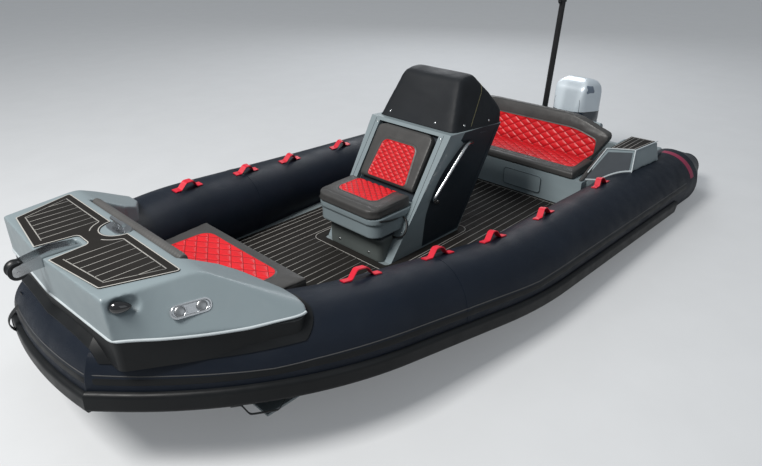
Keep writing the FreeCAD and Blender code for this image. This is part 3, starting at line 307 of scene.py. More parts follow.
def finer(obj):
    """One subdivision of every face."""
    step = obj.modifiers.new("finer", "SUBSURF")
    step.levels = step.render_levels = 1
    bake(obj)


def step_up(value, low, high):
    """0 below low, 1 above high and smooth between."""
    share = np.clip((value - low) / (high - low), 0, 1)
    return share * share * (3 - 2 * share)


def rounded(corners, steps=6):
    """A closed outline from rows of u, v and corner radius."""
    outline = []
    count = len(corners)
    for i, (u, v, radius) in enumerate(corners):
        here = np.array((u, v))
        back = np.array(corners[i - 1][:2]) - here
        ahead = np.array(corners[(i + 1) % count][:2]) - here
        back /= np.hypot(*back)
        ahead /= np.hypot(*ahead)
        half = math.acos(np.clip(back @ ahead, -1, 1)) / 2
        if radius <= 0 or half > 1.56:
            outline.append(here)
            continue
        reach = radius / math.tan(half)
        centre = here + (back + ahead) / np.hypot(*(back + ahead)) * radius / math.sin(half)
        start, end = here + back * reach - centre, here + ahead * reach - centre
        first = math.atan2(start[1], start[0])
        turn = (math.atan2(end[1], end[0]) - first + math.pi) % (2 * math.pi) - math.pi
        for k in range(steps + 1):
            angle = first + turn * k / steps
            outline.append(centre + radius * np.array((math.cos(angle), math.sin(angle))))
    return np.array(outline)


def distance_to(outline, at, closed=True):
    """Distance of points to an outline, negative inside a closed one."""
    ends = np.roll(outline, -1, axis=0)
    pairs = list(zip(outline, ends))
    if not closed:
        pairs = pairs[:-1]
    best = np.full(len(at), 9.0)
    inside = np.zeros(len(at), bool)
    for p, q in pairs:
        run = q - p
        share = np.clip(((at - p) @ run) / (run @ run), 0, 1)
        best = np.minimum(best, np.hypot(*(at - p - share[:, None] * run).T))
        if closed and abs(run[1]) > 1e-9:
            crosses = (p[1] > at[:, 1]) != (q[1] > at[:, 1])
            inside ^= crosses & (at[:, 0] < p[0] + (at[:, 1] - p[1]) / run[1] * run[0])
    return np.where(inside, -best, best)


class Pad:
    """A cushion made from its CAD solid, with a quilted field on its face.

    The face lies across u and up v from its origin, and looks along their cross product."""

    def __init__(self, name, node, body, u, v, origin=(0, 0, 0), field=None, pitch=None, cap=0.010, fill=0.8,
                 creases=(), seam=None, ribs=None, outline=None):
        self.name, self.node, self.body = name, node, body
        self.u, self.v, self.origin = np.array(u, float), np.array(v, float), np.array(origin, float)
        self.out = np.cross(self.u, self.v)
        self.field, self.pitch, self.cap, self.fill = field, pitch, cap, fill
        self.creases, self.seam, self.ribs, self.outline = creases, seam, ribs, outline

    def start(self):
        """Even quads, a little inside the solid, with the side it rests on marked."""
        self.obj = copy_of(self.node, self.name)
        remeshed(self.obj, PAD_VOXEL, 5)
        mesh = self.obj.data
        points = points_of(mesh) - points_of(mesh, "normal") * PAD_START
        if self.outline is not None:
            points = self.drawn_in(points)
        move_to(mesh, points)
        self.before = points
        depth = points @ self.out
        floor = depth.min() + (depth.max() - depth.min()) * PAD_REST_SHARE
        group = self.obj.vertex_groups.new(name="rest")
        group.add([int(i) for i in np.nonzero(depth < floor)[0]], 1.0, "REPLACE")

    def seen(self, points):
        """The points as u and v on the face."""
        return np.stack(((points - self.origin) @ self.u, (points - self.origin) @ self.v), 1)

    def drawn_in(self, points):
        """Moves the points outside a rounded outline of u and v onto it."""
        outline = rounded(self.outline)
        dense = np.array([a + (b - a) * k / 12 for a, b in zip(outline, np.roll(outline, -1, axis=0))
                          for k in range(12)])
        flat = self.seen(points)
        for i in np.nonzero(distance_to(outline, flat) > 0)[0]:
            step = dense[np.argmin(np.sum((dense - flat[i]) ** 2, axis=1))] - flat[i]
            points[i] += self.u * step[0] + self.v * step[1]
        return points

    def hold_swell(self):
        """Takes the blown up points, but no further from the start than the cap."""
        bake(self.obj)
        moved = points_of(self.obj.data) - self.before
        length = np.maximum(np.linalg.norm(moved, axis=1), 1e-9)
        moved *= (np.minimum(length, self.cap) / length)[:, None]
        move_to(self.obj.data, self.before + moved)
        smoothed(self.obj, 8)

    def finish(self):
        """One subdivision, then the quilt, the seams and the measures that the shader reads."""
        finer(self.obj)
        mesh = self.obj.data
        points, normals = points_of(mesh), points_of(mesh, "normal")
        flat = self.seen(points)
        face = step_up(normals @ self.out, 0.35, 0.75)
        rise = np.zeros(len(points))
        edge = np.full(len(points), 1.0)
        a = b = np.zeros(len(points))
        if self.field is not None:
            edge = distance_to(rounded(self.field), flat)
            wide, high = self.pitch
            a = flat[:, 0] / wide + flat[:, 1] / high
            b = flat[:, 0] / wide - flat[:, 1] / high
            cell = 1 / math.hypot(1 / wide, 1 / high)
            near = np.minimum(np.abs(a - np.round(a)), np.abs(b - np.round(b))) * cell
            within = step_up(-edge, 0.003, 0.010)
            rise -= CHANNEL_DEPTH * np.exp(-(near / CHANNEL_WIDTH) ** 2) * within
            rise += PUFF * step_up(near, 0, cell / 2) * within
            rise += PIPING_RISE * np.exp(-(edge / PIPING_WIDTH) ** 2)
            rise -= PIPING_RISE / 2 * np.exp(-((edge - 3 * PIPING_WIDTH) / PIPING_WIDTH) ** 2)
        for crease in self.creases:
            gap = distance_to(np.array(crease, float), flat, False)
            rise -= CHANNEL_DEPTH / 2 * np.exp(-(gap / CHANNEL_WIDTH) ** 2)
        points = points + np.outer(rise * face, self.out)
        if self.ribs is not None:
            ridges = RIB_DEPTH * np.abs(np.sin(math.pi * flat[:, 0] / self.ribs)) ** 0.5
            points = points + normals * (ridges - RIB_DEPTH)[:, None]
        if self.seam is not None:
            depth = (points - self.origin) @ self.out - self.seam
            inward = SIDE_SEAM_DEPTH * np.exp(-(depth / SIDE_SEAM_WIDTH) ** 2) * (1 - face)
            points = points - normals * inward[:, None]
        move_to(mesh, points)
        edge = np.where(face > 0.1, edge, 1.0)
        for label, values in zip(PAD_LABELS, (edge, a, b)):
            mesh.attributes.new(label, "FLOAT", "POINT").data.foreach_set("value", values.astype(np.float32))
        shade_smooth(self.obj)
        if self.field is None:
            dress(self.obj, "cushion_vinyl" if self.ribs is None else "bolster_vinyl")
        else:
            mesh.materials.clear()
            mesh.materials.append(quilted("quilt_" + self.name, self.pitch))
        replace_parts(self.obj, self.node)
        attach(self.obj, self.body)


def shade_smooth(obj, angle=None):
    obj.data.shade_smooth()
    if angle is not None:
        obj.data.set_sharp_from_angle(angle=math.radians(angle))


def swell(pads):
    """Blows all the cushions up at once with Cloth."""
    for pad in pads:
        cloth = pad.obj.modifiers.new("swell", "CLOTH")
        cloth.settings.use_pressure = True
        cloth.settings.uniform_pressure_force = PAD_PRESSURE
        cloth.settings.effector_weights.gravity = 0
        cloth.settings.vertex_group_mass = "rest"
        cloth.collision_settings.use_self_collision = False
        cloth.collision_settings.use_collision = False
        cloth.point_cache.frame_end = PAD_FRAMES
    for frame_number in range(1, PAD_FRAMES + 1):
        bpy.context.scene.frame_set(frame_number)
    for pad in pads:
        pad.hold_swell()
    bpy.context.scene.frame_set(1)


def quilted(name, pitch):
    """Vinyl that is red inside the quilted field and grey round it, with painted shade darkening the red along
    the channels.
    """
    net = Net(name)
    edge, a, b = (net.made("Attribute", "Fac", attribute_name=label) for label in PAD_LABELS)
    slow = net.noise(6.0, 5.0)
    grey = net.shades(slow, VINYL_GREY, 0.86, 1.14)
    cell = 1 / math.hypot(1 / pitch[0], 1 / pitch[1])
    near = net.math("MINIMUM", net.math("PINGPONG", a, 0.5), net.math("PINGPONG", b, 0.5))
    # Painted shade: the red darkens to a third along the quilting channels
    channel_shade = net.ramp(net.math("MULTIPLY", near, cell), 0.0008, 0.0030, 1.0, 0.0)
    red = net.mix(channel_shade, net.shades(slow, VINYL_RED, 0.90, 1.08), scaled(VINYL_RED, 0.30))
    pipe = net.ramp(net.math("ABSOLUTE", net.math("ADD", edge, 0.001)), 0.0012, 0.0036, 1.0, 0.0)
    red = net.mix(pipe, red, scaled(VINYL_RED, 0.8))
    colour = net.mix(net.ramp(edge, -0.0006, 0.0010, 1.0, 0.0), grey, red)
    grain = net.bump(net.noise(900.0, 2.0), 0.35, 0.0003)
    return net.done(Base_Color=colour, Roughness=net.gloss(16.0, 0.36, 0.52),
                    Normal=net.bump(net.noise(38.0, 4.0), 0.18, 0.004, Normal=grain), Specular_IOR_Level=0.4)


def leaning_face(foot, head):
    """The up direction of a face that runs from foot to head, given as x and z."""
    run = np.array((head[0] - foot[0], 0, head[1] - foot[1]))
    return run / np.linalg.norm(run)


ACROSS = (0, 1, 0)
AHEAD = (1, 0, 0)
ASTERN = (-1, 0, 0)
SEAT_BACK_FOOT = (0.367, 0, 0.572)
BENCH_BACK_FOOT = (-1.345, 0, 0.399)
SEAT_BACK_UP = leaning_face((0.367, 0.572), (0.146, 0.917))
BENCH_BACK_UP = leaning_face((-1.345, 0.399), (-1.430, 0.778))

PADS = [
    Pad("bow_seat_pad", "bow_cushion", "bow_lid", AHEAD, ACROSS, cap=0.004, seam=0.500,
        field=((1.500, -0.345, 0.07), (1.800, -0.345, 0.03), (1.800, 0.345, 0.03), (1.500, 0.345, 0.07)),
        pitch=(0.075, 0.115)),
    Pad("seat_pad", "seat_cushion", "seat_lid", AHEAD, ACROSS, cap=0.006, seam=0.572,
        field=((0.345, -0.165, 0.03), (0.632, -0.178, 0.055), (0.632, 0.178, 0.055), (0.345, 0.165, 0.03)),
        pitch=(0.045, 0.057), creases=[((0.685, -0.235), (0.690, 0.0), (0.685, 0.235))]),
    Pad("seat_back_pad", "seat_back", "root", ACROSS, SEAT_BACK_UP, SEAT_BACK_FOOT, cap=0.004, seam=-0.012,
        field=((-0.172, 0.040, 0.02), (0.172, 0.040, 0.02), (0.145, 0.307, 0.045), (-0.145, 0.307, 0.045)),
        pitch=(0.057, 0.042),
        outline=((-0.243, -0.05, 0.0), (0.243, -0.05, 0.0), (0.243, 0.415, 0.065), (-0.243, 0.415, 0.065))),
    Pad("bench_seat_pad", "bench_cushion", "bench_lid", AHEAD, ACROSS, cap=0.006, seam=0.452,
        field=((-1.330, -0.625, 0.02), (-1.068, -0.640, 0.05), (-1.068, 0.640, 0.05), (-1.330, 0.625, 0.02)),
        pitch=(0.065, 0.105), creases=[((-1.030, -0.67), (-1.030, 0.67))]),
    Pad("bench_back_pad", "bench_back", "root", ACROSS, BENCH_BACK_UP, BENCH_BACK_FOOT, cap=0.006,
        seam=-0.012,
        field=((-0.590, 0.050, 0.02), (0.590, 0.050, 0.02), (0.648, 0.105, 0.03), (0.648, 0.216, 0.04),
               (0.447, 0.268, 0.5), (-0.447, 0.268, 0.5), (-0.648, 0.216, 0.04), (-0.648, 0.105, 0.03)),
        pitch=(0.105, 0.065)),
    Pad("bolster_pad", "bow_bolster", "root", ACROSS, (0, 0, 1), cap=0.006, ribs=0.022),
    Pad("cheek_pads", "bench_cheeks", "root", ACROSS, (0, 0, 1), cap=0.004, fill=0.9),
]


def build_pads():
    for pad in PADS:
        pad.start()
    swell(PADS)
    for pad in PADS:
        pad.finish()


# Helm cover

COVER_VOXEL = 0.013
COVER_ROUNDS = 46
COVER_SKIRT = 0.09
COVER_HEM = ((0.103, 0, 0.9372), (-0.0587, 0, 0.9983))
COVER_FOLD = 0.0035
FOLD_WIDE = 5.0
FOLD_TIGHT = (17.0, 6.0, 13.0)
FOLD_TIGHT_SHARE = 0.45
HEM_R = 0.0035
STUD_R = 0.0090
STUDS = ((0.075, -0.237), (0.075, 0.166), (-0.065, 0.34), (-0.318, 0.34), (-0.065, -0.34),
         (-0.318, -0.34))
STUD_RISE = 0.030
STUD_HEIGHT = 0.0035
STUD_LIFT = 0.0025
COVER_SEAM = ((-0.127, 0.937), (-0.292, 1.120), (-0.325, 1.190))
SEAM_UP = 0.004
SEAM_R = 0.0011
SEAM_LIFT = 0.0004


def build_cover():
    """The cloth over the helm: one open sheet with soft folds, a hem, a seam on each side and press studs."""
    foot, slope = (np.array(part, float) for part in COVER_HEM)
    cover = copy_of("console_cover", "helm_cover")
    points = points_of(cover.data)
    points[(points - foot) @ slope < COVER_SKIRT / 3] -= COVER_SKIRT * slope
    move_to(cover.data, points)
    remeshed(cover, COVER_VOXEL, COVER_ROUNDS)
    finer(cover)
    with edited(cover.data) as work:
        geometry = work.verts[:] + work.edges[:] + work.faces[:]
        bmesh.ops.bisect_plane(work, geom=geometry, plane_co=foot, plane_no=slope, clear_inner=True)
        for vert in work.verts:
            wide = noise.noise(vert.co * FOLD_WIDE)
            tight = noise.noise(Vector([part * scale for part, scale in zip(vert.co, FOLD_TIGHT)]))
            vert.co += vert.normal * COVER_FOLD * (wide + FOLD_TIGHT_SHARE * tight)
    shade_smooth(placed(cover, "cover_cloth"))
    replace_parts(cover, "console_cover")
    tree = BVHTree.FromObject(cover, bpy.context.evaluated_depsgraph_get())
    extras = [cover_hem(cover), cover_studs(tree, foot, slope), cover_seams(tree)]


def cover_hem(cover):
    """A stitched band along the sheet's open edge."""
    with edited(cover.data) as work:
        start = next(edge for edge in work.edges if edge.is_boundary)
        ring = [start.verts[0], start.verts[1]]
        used = {start}
        while True:
            ahead = [edge for edge in ring[-1].link_edges if edge.is_boundary and edge not in used]
            if not ahead:
                break
            used.add(ahead[0])
            ring.append(ahead[0].other_vert(ring[-1]))
        course = [vert.co.copy() for vert in ring[:-1:3]]
    return placed(joined("cover_hem", [tube_data(course, HEM_R, True)]), "cover_cloth")


def cover_studs(tree, foot, slope):
    """Round press studs a little above the hem."""
    spots = []
    for x, y in STUDS:
        z = foot[2] + (foot[0] - x) * slope[0] / slope[2] + STUD_RISE
        away = Vector(AHEAD if x > 0 else (0, math.copysign(1, y), 0))
        for spot, normal in hits(tree, [Vector((x, y, z)) + away * 0.2], -away):
            normal = facing(normal, away)
            spots.append((spot + normal * STUD_LIFT, normal))
    return domes("cover_studs", spots, STUD_R, STUD_HEIGHT, "polished_steel")


def cover_seams(tree):
    """The thread line up each side."""
    parts = []
    for hand in (1, -1):
        starts = [(x, hand * 0.6, z + SEAM_UP) for x, z in stepped(COVER_SEAM, 12)]
        course = [spot + normal * SEAM_LIFT for spot, normal in hits(tree, starts, (0, -hand, 0))]
        parts.append(tube_data(course, SEAM_R, False, 6))
    return placed(joined("cover_seams", parts), "cover_cloth", "root", "seam_thread")


# Small forms in mesh code

def joined(name, parts):
    """One object from rows of points and faces."""
    points, faces = [], []
    for more_points, more_faces in parts:
        faces += [tuple(i + len(points) for i in face) for face in more_faces]
        points += [tuple(p) for p in more_points]
    mesh = bpy.data.meshes.new(name)
    mesh.from_pydata(points, [], faces)
    mesh.validate()
    mesh.shade_smooth()
    return linked(name, mesh)


def turns(count):
    return [2 * math.pi * k / count for k in range(count)]


def stepped(corners, count, closed=False):
    """Spots on the straight runs between corners, count to a run, without the last corner of an open course."""
    corners = [Vector(corner) for corner in corners]
    ends = corners[1:] + corners[:1] if closed else corners[1:]
    return [a + (b - a) * k / count for a, b in zip(corners, ends) for k in range(count)]


def facing(direction, side):
    """The direction, turned round where it looks away from a side."""
    return direction if direction.dot(Vector(side)) > 0 else -direction


def hits(tree, starts, ray, out=None):
    """Where rays from these starts meet a surface: rows of spot and direction, which is out where given."""
    found = [tree.ray_cast(Vector(start), Vector(ray))[:2] for start in starts]
    return [(spot, normal if out is None else Vector(out)) for spot, normal in found if spot is not None]


def heading(course, i, closed):
    """The direction of a course at one of its spots."""
    before = course[i - 1] if closed or i else course[i]
    after = course[(i + 1) % len(course)] if closed or i < len(course) - 1 else course[i]
    return (after - before).normalized()


def quads(rows, columns, round_rows=False, round_columns=True):
    """Faces of a net of points given row by row, closed on itself where asked."""
    faces = []
    for r in range(rows if round_rows else rows - 1):
        here, ahead = r * columns, (r + 1) % rows * columns
        for c in range(columns if round_columns else columns - 1):
            d = (c + 1) % columns
            faces.append((here + c, here + d, ahead + d, ahead + c))
    return faces


def bar_faces(count, ring, closed):
    """Faces of a bar of rings, with a lid on each end of an open one."""
    lids = [tuple(reversed(range(ring))), tuple(range((count - 1) * ring, count * ring))]
    return quads(count, ring, closed) + ([] if closed else lids)


def tube_data(course, radius, closed=False, sides=8):
    """Points and faces of a round bar along a course, with closed ends."""
    course = [Vector(p) for p in course]
    points = []
    side = None
    for i, here in enumerate(course):
        along = heading(course, i, closed)
        side = (side - along * side.dot(along)).normalized() if side else along.orthogonal().normalized()
        lift = along.cross(side)
        points += [here + (side * math.cos(turn) + lift * math.sin(turn)) * radius for turn in turns(sides)]
    return points, bar_faces(len(course), sides, closed)


def domes(name, spots, radius, rise, slot, rings=5, sides=20):
    """Shallow round heads on a surface, from rows of spot and direction."""
    parts = []
    for spot, normal in spots:
        side = normal.orthogonal().normalized()
        lift = normal.cross(side)
        points = [spot + normal * rise]
        for r in range(1, rings + 1):
            angle = math.pi / 2 * r / rings
            for turn in turns(sides):
                ray = side * math.cos(turn) + lift * math.sin(turn)
                points.append(spot + ray * radius * math.sin(angle) + normal * rise * math.cos(angle))
        faces = [(0, 1 + k, 1 + (k + 1) % sides) for k in range(sides)]
        faces += [tuple(1 + i for i in (a, d, c, b)) for a, b, c, d in quads(rings, sides)]
        parts.append((points, faces))
    return placed(joined(name, parts), slot)


def inset_of(outline, distance):
    """A closed outline moved inwards."""
    outline = np.array(outline)
    ahead = np.roll(outline, -1, axis=0) - outline
    ahead /= np.linalg.norm(ahead, axis=1)[:, None]
    back = np.roll(ahead, 1, axis=0)
    area = np.sum(outline[:, 0] * np.roll(outline[:, 1], -1) - outline[:, 1] * np.roll(outline[:, 0], -1))
    hand = 1 if area > 0 else -1
    left_ahead, left_back = (np.stack((-way[:, 1], way[:, 0]), 1) * hand for way in (ahead, back))
    middle = left_ahead + left_back
    middle /= np.linalg.norm(middle, axis=1)[:, None]
    return outline + middle * (distance / np.maximum(0.3, np.sum(middle * left_ahead, axis=1)))[:, None]


def ribbon_data(course, width, z, closed=False):
    """Points and faces of a thin flat line on a level face."""
    course = np.array(course, float)
    if closed:
        outer, inner = inset_of(course, -width / 2), inset_of(course, width / 2)
    else:
        along = np.gradient(course, axis=0)
        along /= np.linalg.norm(along, axis=1)[:, None]
        aside = np.stack((-along[:, 1], along[:, 0]), 1) * width / 2
        outer, inner = course + aside, course - aside
    count = len(course)
    low, high = z - LINE_SINK, z + LINE_RISE
    points = [(x, y, height) for row, height in ((outer, low), (outer, high), (inner, high), (inner, low))
              for x, y in row]
    faces = quads(4, count, True, closed)
    if not closed:
        faces.append(tuple(k * count for k in range(4)))
        faces.append(tuple(k * count + count - 1 for k in reversed(range(4))))
    return points, faces


# Light lines in the foam

LINE_SINK = 0.0004
LINE_RISE = 0.0005
LINE_W = 0.0036
EDGE_W = 0.0050
THIN_W = 0.0028
DECK_PITCH = 0.0585
DECK_FIELD = ((-0.955, -0.655), (1.388, 0.655))
PLINTH_FIELD = ((-0.150, -0.360), (0.705, 0.360))
BOW_PITCH = 0.055
BOW_OUTLINE = ((2.484, 0.0822, 0), (2.434, 0.452, 0.014), (2.136, 0.560, 0.014), (2.136, 0.086, 0))
BOW_NOTCH = ((2.300, -0.058, 0.025), (2.300, 0.058, 0.025), (2.6, 0.1, 0), (2.6, -0.1, 0))
NOTCH_SPOTS = 14
WELL_R = 0.086
WELL_BORDER_R = WELL_R + 0.04
WELL_X = 2.137
BOW_BORDER = 0.038
SHORTEST_LINE = 0.02
LINE_OVERRUN = 0.004
STEP_OUTLINE = ((-1.283, 0.789), (-1.390, 0.965), (-1.713, 1.000), (-1.700, 0.789))
STEP_BORDER = 0.022
STEP_LINES_Y = (0.835, 0.872, 0.909, 0.946)


def rectangle(field, radius=0.0):
    (x0, y0), (x1, y1) = field
    return rounded(((x0, y0, radius), (x1, y0, radius), (x1, y1, radius), (x0, y1, radius)))


def well_arc(radius, start, end, count):
    """Spots round the well in the bow foam, between two angles."""
    return [(WELL_X + radius * math.cos(angle), radius * math.sin(angle))
            for angle in np.linspace(start, end, count)]


def on_hand(course, hand):
    return [(x, hand * y) for x, y in course]


def lines_piece(name, parts):
    placed(joined(name, parts), "deck_foam", "root", "foam_line")


def deck_lines():
    """Plank lines along the deck, stopped at a border round the foam and one round the console."""
    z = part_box("deck_foam")[1][2]
    (x0, _), (x1, y1) = DECK_FIELD
    (aft, _), (fore, half) = PLINTH_FIELD
    parts = [ribbon_data(rectangle(field, radius), LINE_W, z, True)
             for field, radius in ((DECK_FIELD, 0.04), (PLINTH_FIELD, 0.06))]
    count = int(y1 / DECK_PITCH)
    for k in range(-count, count):
        y = (k + 0.5) * DECK_PITCH
        runs = [(x0, aft), (fore, x1)] if abs(y) < half else [(x0, x1)]
        parts += [ribbon_data([(start, y), (end, y)], LINE_W, z) for start, end in runs]
    lines_piece("deck_lines", parts)


def bow_lines():
    """The bow foam's bright edge, and on each half a border with planks inside it."""
    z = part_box("bow_foam")[1][2]
    half = rounded(BOW_OUTLINE)
    arc = well_arc(WELL_R, 1.45, -1.45, 17)
    whole = np.concatenate((half, arc, np.array(on_hand(half, -1))[::-1], rounded(BOW_NOTCH)[:NOTCH_SPOTS]))
    parts = [ribbon_data(inset_of(whole, EDGE_W / 2), EDGE_W, z, True)]
    inner_front, front, rear, inner_rear = inset_of([corner[:2] for corner in BOW_OUTLINE], BOW_BORDER)
    border = [(inner_front[0] - LINE_OVERRUN, inner_front[1]), tuple(front), tuple(rear),
              (inner_rear[0], WELL_BORDER_R)]
    well = well_arc(WELL_BORDER_R, 1.2, 0.5, 9)
    for hand in (1, -1):
        for course, width in ((border[:2], EDGE_W), (border[1:3], THIN_W), (border[2:] + well, EDGE_W)):
            parts.append(ribbon_data(on_hand(course, hand), width, z))
        for k in range(2, int(rear[1] / BOW_PITCH) + 1):
            y = (k + 0.5) * BOW_PITCH
            (x0, y0), (x1, y1) = (front, rear) if y > front[1] else (inner_front, front)
            end = x0 + (x1 - x0) * (y - y0) / (y1 - y0)
            if y < rear[1] and end - rear[0] > SHORTEST_LINE:
                parts.append(ribbon_data(on_hand([(rear[0], y), (end, y)], hand), THIN_W, z))
    lines_piece("bow_lines", parts)


def step_lines():
    """The foam on the stern steps: a border and planks."""
    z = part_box("step_foam")[1][2]
    border = inset_of(STEP_OUTLINE, STEP_BORDER)
    (x0, y0), (x1, y1), _, (x3, _) = border
    parts = []
    for hand in (1, -1):
        parts.append(ribbon_data(on_hand(border, hand), LINE_W, z, True))
        for y in STEP_LINES_Y:
            share = (y - y0) / (y1 - y0)
            if share < 1:
                line = [(x0 + (x1 - x0) * share, y), (x3 + LINE_OVERRUN, y)]
                parts.append(ribbon_data(on_hand(line, hand), LINE_W, z))
    lines_piece("step_lines", parts)


# Mouldings with soft edges

COWL_VOXEL = 0.011
COWL_ROUNDS = 16
COWL_SKIRT = (-2.29, 0.560, 0.12)
WINDOW_CUTS = ((-2.29, 0.730), (-2.13, 0.745), (-2.14, 0.825), (-2.26, 0.800))
WINDOW_R = 0.016
HOOD_RISE = 0.0012
HOOD_SEAM_X = (-2.47, -2.05)
HOOD_LINE_X = -2.085
HOOD_LINE_Z = (0.575, 0.700)


def moulded(name, node, voxel, rounds):
    """A CAD moulding with its hard corners rounded off."""
    piece = copy_of(node, name)
    remeshed(piece, voxel, rounds)
    shade_smooth(placed(piece, "gelcoat_grey"), 50)
    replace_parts(piece, node)
    return piece


def skirt_z(x):
    """Height of the line where the hood's dark skirt ends."""
    middle, height, lean = COWL_SKIRT
    return height + lean * (x - middle)


def engine_hood():
    """The hood as one swelling form: the CAD hood's hull, smoothed, with a dark skirt and panel lines."""
    hood = copy_of("engine_cowl", "engine_hood")
    with edited(hood.data) as work:
        made = bmesh.ops.convex_hull(work, input=work.verts)
        unused = made["geom_interior"] + made["geom_unused"]
        loose = list({item for item in unused if isinstance(item, bmesh.types.BMVert)})
        bmesh.ops.delete(work, geom=loose, context="VERTS")
        inside = [face for face in work.faces if face not in set(made["geom"])]
        bmesh.ops.delete(work, geom=inside, context="FACES_ONLY")
    remeshed(hood, COWL_VOXEL, COWL_ROUNDS)
    finer(hood)
    shade_smooth(placed(hood, "engine_silver", "engine", "engine_silver", "hood_skirt"))
    for face in hood.data.polygons:
        face.material_index = int(face.center.z < skirt_z(face.center.x))
    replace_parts(hood, "engine_cowl")
    tree = BVHTree.FromObject(hood, bpy.context.evaluated_depsgraph_get())
    outline = rounded([(x, z, WINDOW_R) for x, z in WINDOW_CUTS])
    windows, lines = [], []
    for hand in (1, -1):
        inward = Vector((0, -hand, 0))
        windows.append(skin_data(tree, outline, inward, HOOD_RISE))
        seam = [(x, hand * 0.5, skirt_z(x)) for x in np.linspace(*HOOD_SEAM_X, 30)]
        lines.append(strip_data(hits(tree, seam, inward), 0.005, HOOD_RISE))
        upright = [(HOOD_LINE_X, hand * 0.5, z) for z in np.linspace(*HOOD_LINE_Z, 14)]
        lines.append(strip_data(hits(tree, upright, inward), 0.004, 0.0010))
    trim_piece("hood_windows", windows, "hood_window", "engine_silver", "engine")
    trim_piece("hood_seams", lines, "black_paint", "engine_silver", "engine")


def patch_data(course, rise, sink=0.002):
    """Points and faces of a thin plate laid on a surface inside a closed row of spot and direction."""
    count = len(course)
    centre = sum((spot for spot, _ in course), Vector()) / count
    up = sum((normal for _, normal in course), Vector()).normalized()
    points = [centre + up * rise] + [spot + normal * rise for spot, normal in course]
    points += [spot - normal * sink for spot, normal in course] + [centre - up * sink]
    faces = []
    for i in range(count):
        j = (i + 1) % count
        faces.append((0, 1 + i, 1 + j))
        faces.append((1 + i, 1 + count + i, 1 + count + j, 1 + j))
        faces.append((1 + 2 * count, 1 + count + j, 1 + count + i))
    return points, faces


def skin_data(tree, outline, down, rise, rings=6):
    """Points and faces of a thin plate that follows a surface, from an outline of x and z seen along down."""
    middle = outline.mean(0)
    count = len(outline)
    points = []
    for r in range(rings + 1):
        for x, z in middle + (outline - middle) * (1 - r / (rings + 1)):
            level = Vector((x, 0, z))
            spot = tree.ray_cast(level - down, down)[0]
            points.append((level if spot is None else spot) - down * (rise if r else -rise))
    return points, quads(rings + 1, count) + [tuple(range(rings * count, (rings + 1) * count))]


def strip_data(course, width, rise, closed=False, sink=0.001, columns=6):
    """Points and faces of a low arched strip on a surface, from rows of spot and outward direction."""
    spots = [spot for spot, _ in course]
    points = []
    for i, (spot, normal) in enumerate(course):
        aside = normal.cross(heading(spots, i, closed)).normalized()
        for k in range(columns + 1):
            share = 2 * k / columns - 1
            height = rise * (1 - abs(share) ** 3) if abs(share) < 1 else -sink
            points.append(spot + aside * share * width / 2 + normal * height)
    return points, bar_faces(len(course), columns + 1, closed)


def trim_piece(name, parts, material, slot=None, body="root", angle=40):
    """A piece of trim in one material, with even normals, shaded smooth and put on its body; the slot is passed
    on to placed, which does not use it when a material is given.
    """
    piece = joined(name, parts)
    with edited(piece.data) as work:
        bmesh.ops.recalc_face_normals(work, faces=work.faces)
    shade_smooth(piece, angle)
    return placed(piece, slot or material, body, material)


def node_points(name):
    """The points of a CAD node, in the boat's frame."""
    return [NODES[name].matrix_world @ vert.co for vert in NODES[name].data.vertices]


def side_points(name, hand):
    """The points of a CAD node on one side of the boat, and the middle of their box."""
    points = np.array(node_points(name))
    points = points[points[:, 1] * hand > 0]
    return points, (points.max(0) + points.min(0)) / 2


def tree_of(*names):
    """A ray tree over the meshes of CAD nodes."""
    points, faces = [], []
    for name in names:
        start = len(points)
        points += node_points(name)
        faces += [tuple(start + i for i in face.vertices) for face in NODES[name].data.polygons]
    return BVHTree.FromPolygons(points, faces)


def mirrored(part):
    points, faces = part
    return [(p[0], -p[1], p[2]) for p in points], [tuple(reversed(face)) for face in faces]


def both(*parts):
    return list(parts) + [mirrored(part) for part in parts]


# Trim on the tubes

TUBE_LINE = ((-2.12, 1.0, 0.190), (0.35, 1.0, 0.272), (1.9, 0.777, 0.438), (2.33, 0.3, 0.44))
TUBE_NOSE = (2.352, 0.0, 0.44)
TUBE_NODES = ["tube_nose"] + [part + hand for part in ("tube", "tube_mid", "tube_shoulder")
                              for hand in ("_port", "_starboard")]
TUBE_STEP = 0.03
TUBE_RAY = 0.5
TAPE_AFT_X = -1.9
TAPE_LEAN = 10.0
TAPE_WIDTH = 0.034
TAPE_RISE = 0.0014
BEAD_LEAN = 16.5
BEAD_WIDTH = 0.006
BEAD_RISE = 0.0016
STRIPE_X = -2.01
STRIPE_LEANS = (100, 20)
STRIPE_W = 0.085
PATCH_X = (-1.84, -1.93)
PATCH_LEANS = (98, 112)
PATCH_RISE = 0.0012
NOSE_STRAP_FEET = ((3.2, -0.315, 0.580), (3.2, -0.315, 0.300))
NOSE_STRAP_RISE = 0.085
NOSE_STRAP_LIFT = 0.004
NOSE_STRAP_WIDTH = 0.036
NOSE_STRAP_THICK = 0.003


def tube_spots(tree, lean):
    """Spots round the boat on the tubes, some degrees above their middle, from port aft to starboard aft."""
    corners = [Vector(p) for p in TUBE_LINE + (TUBE_NOSE,)]
    line = []
    for a, b in zip(corners, corners[1:]):
        line += stepped((a, b), int((b - a).length / TUBE_STEP))
    line = [p for p in line if p.x > TAPE_AFT_X]
    angle = math.radians(lean)
    spots = []
    for hand in (1, -1):
        side = []
        for i, p in enumerate(line):
            along = line[min(i + 4, len(line) - 1)] - line[max(i - 4, 0)]
            out = Vector((-along.y, along.x, 0)).normalized()
            ray = out * math.cos(angle) + Vector((0, 0, math.sin(angle)))
            ray.y *= hand
            side += hits(tree, [Vector((p.x, hand * p.y, p.z)) + ray * TUBE_RAY], -ray, ray)
        spots += side if hand == 1 else side[::-1]
    return spots


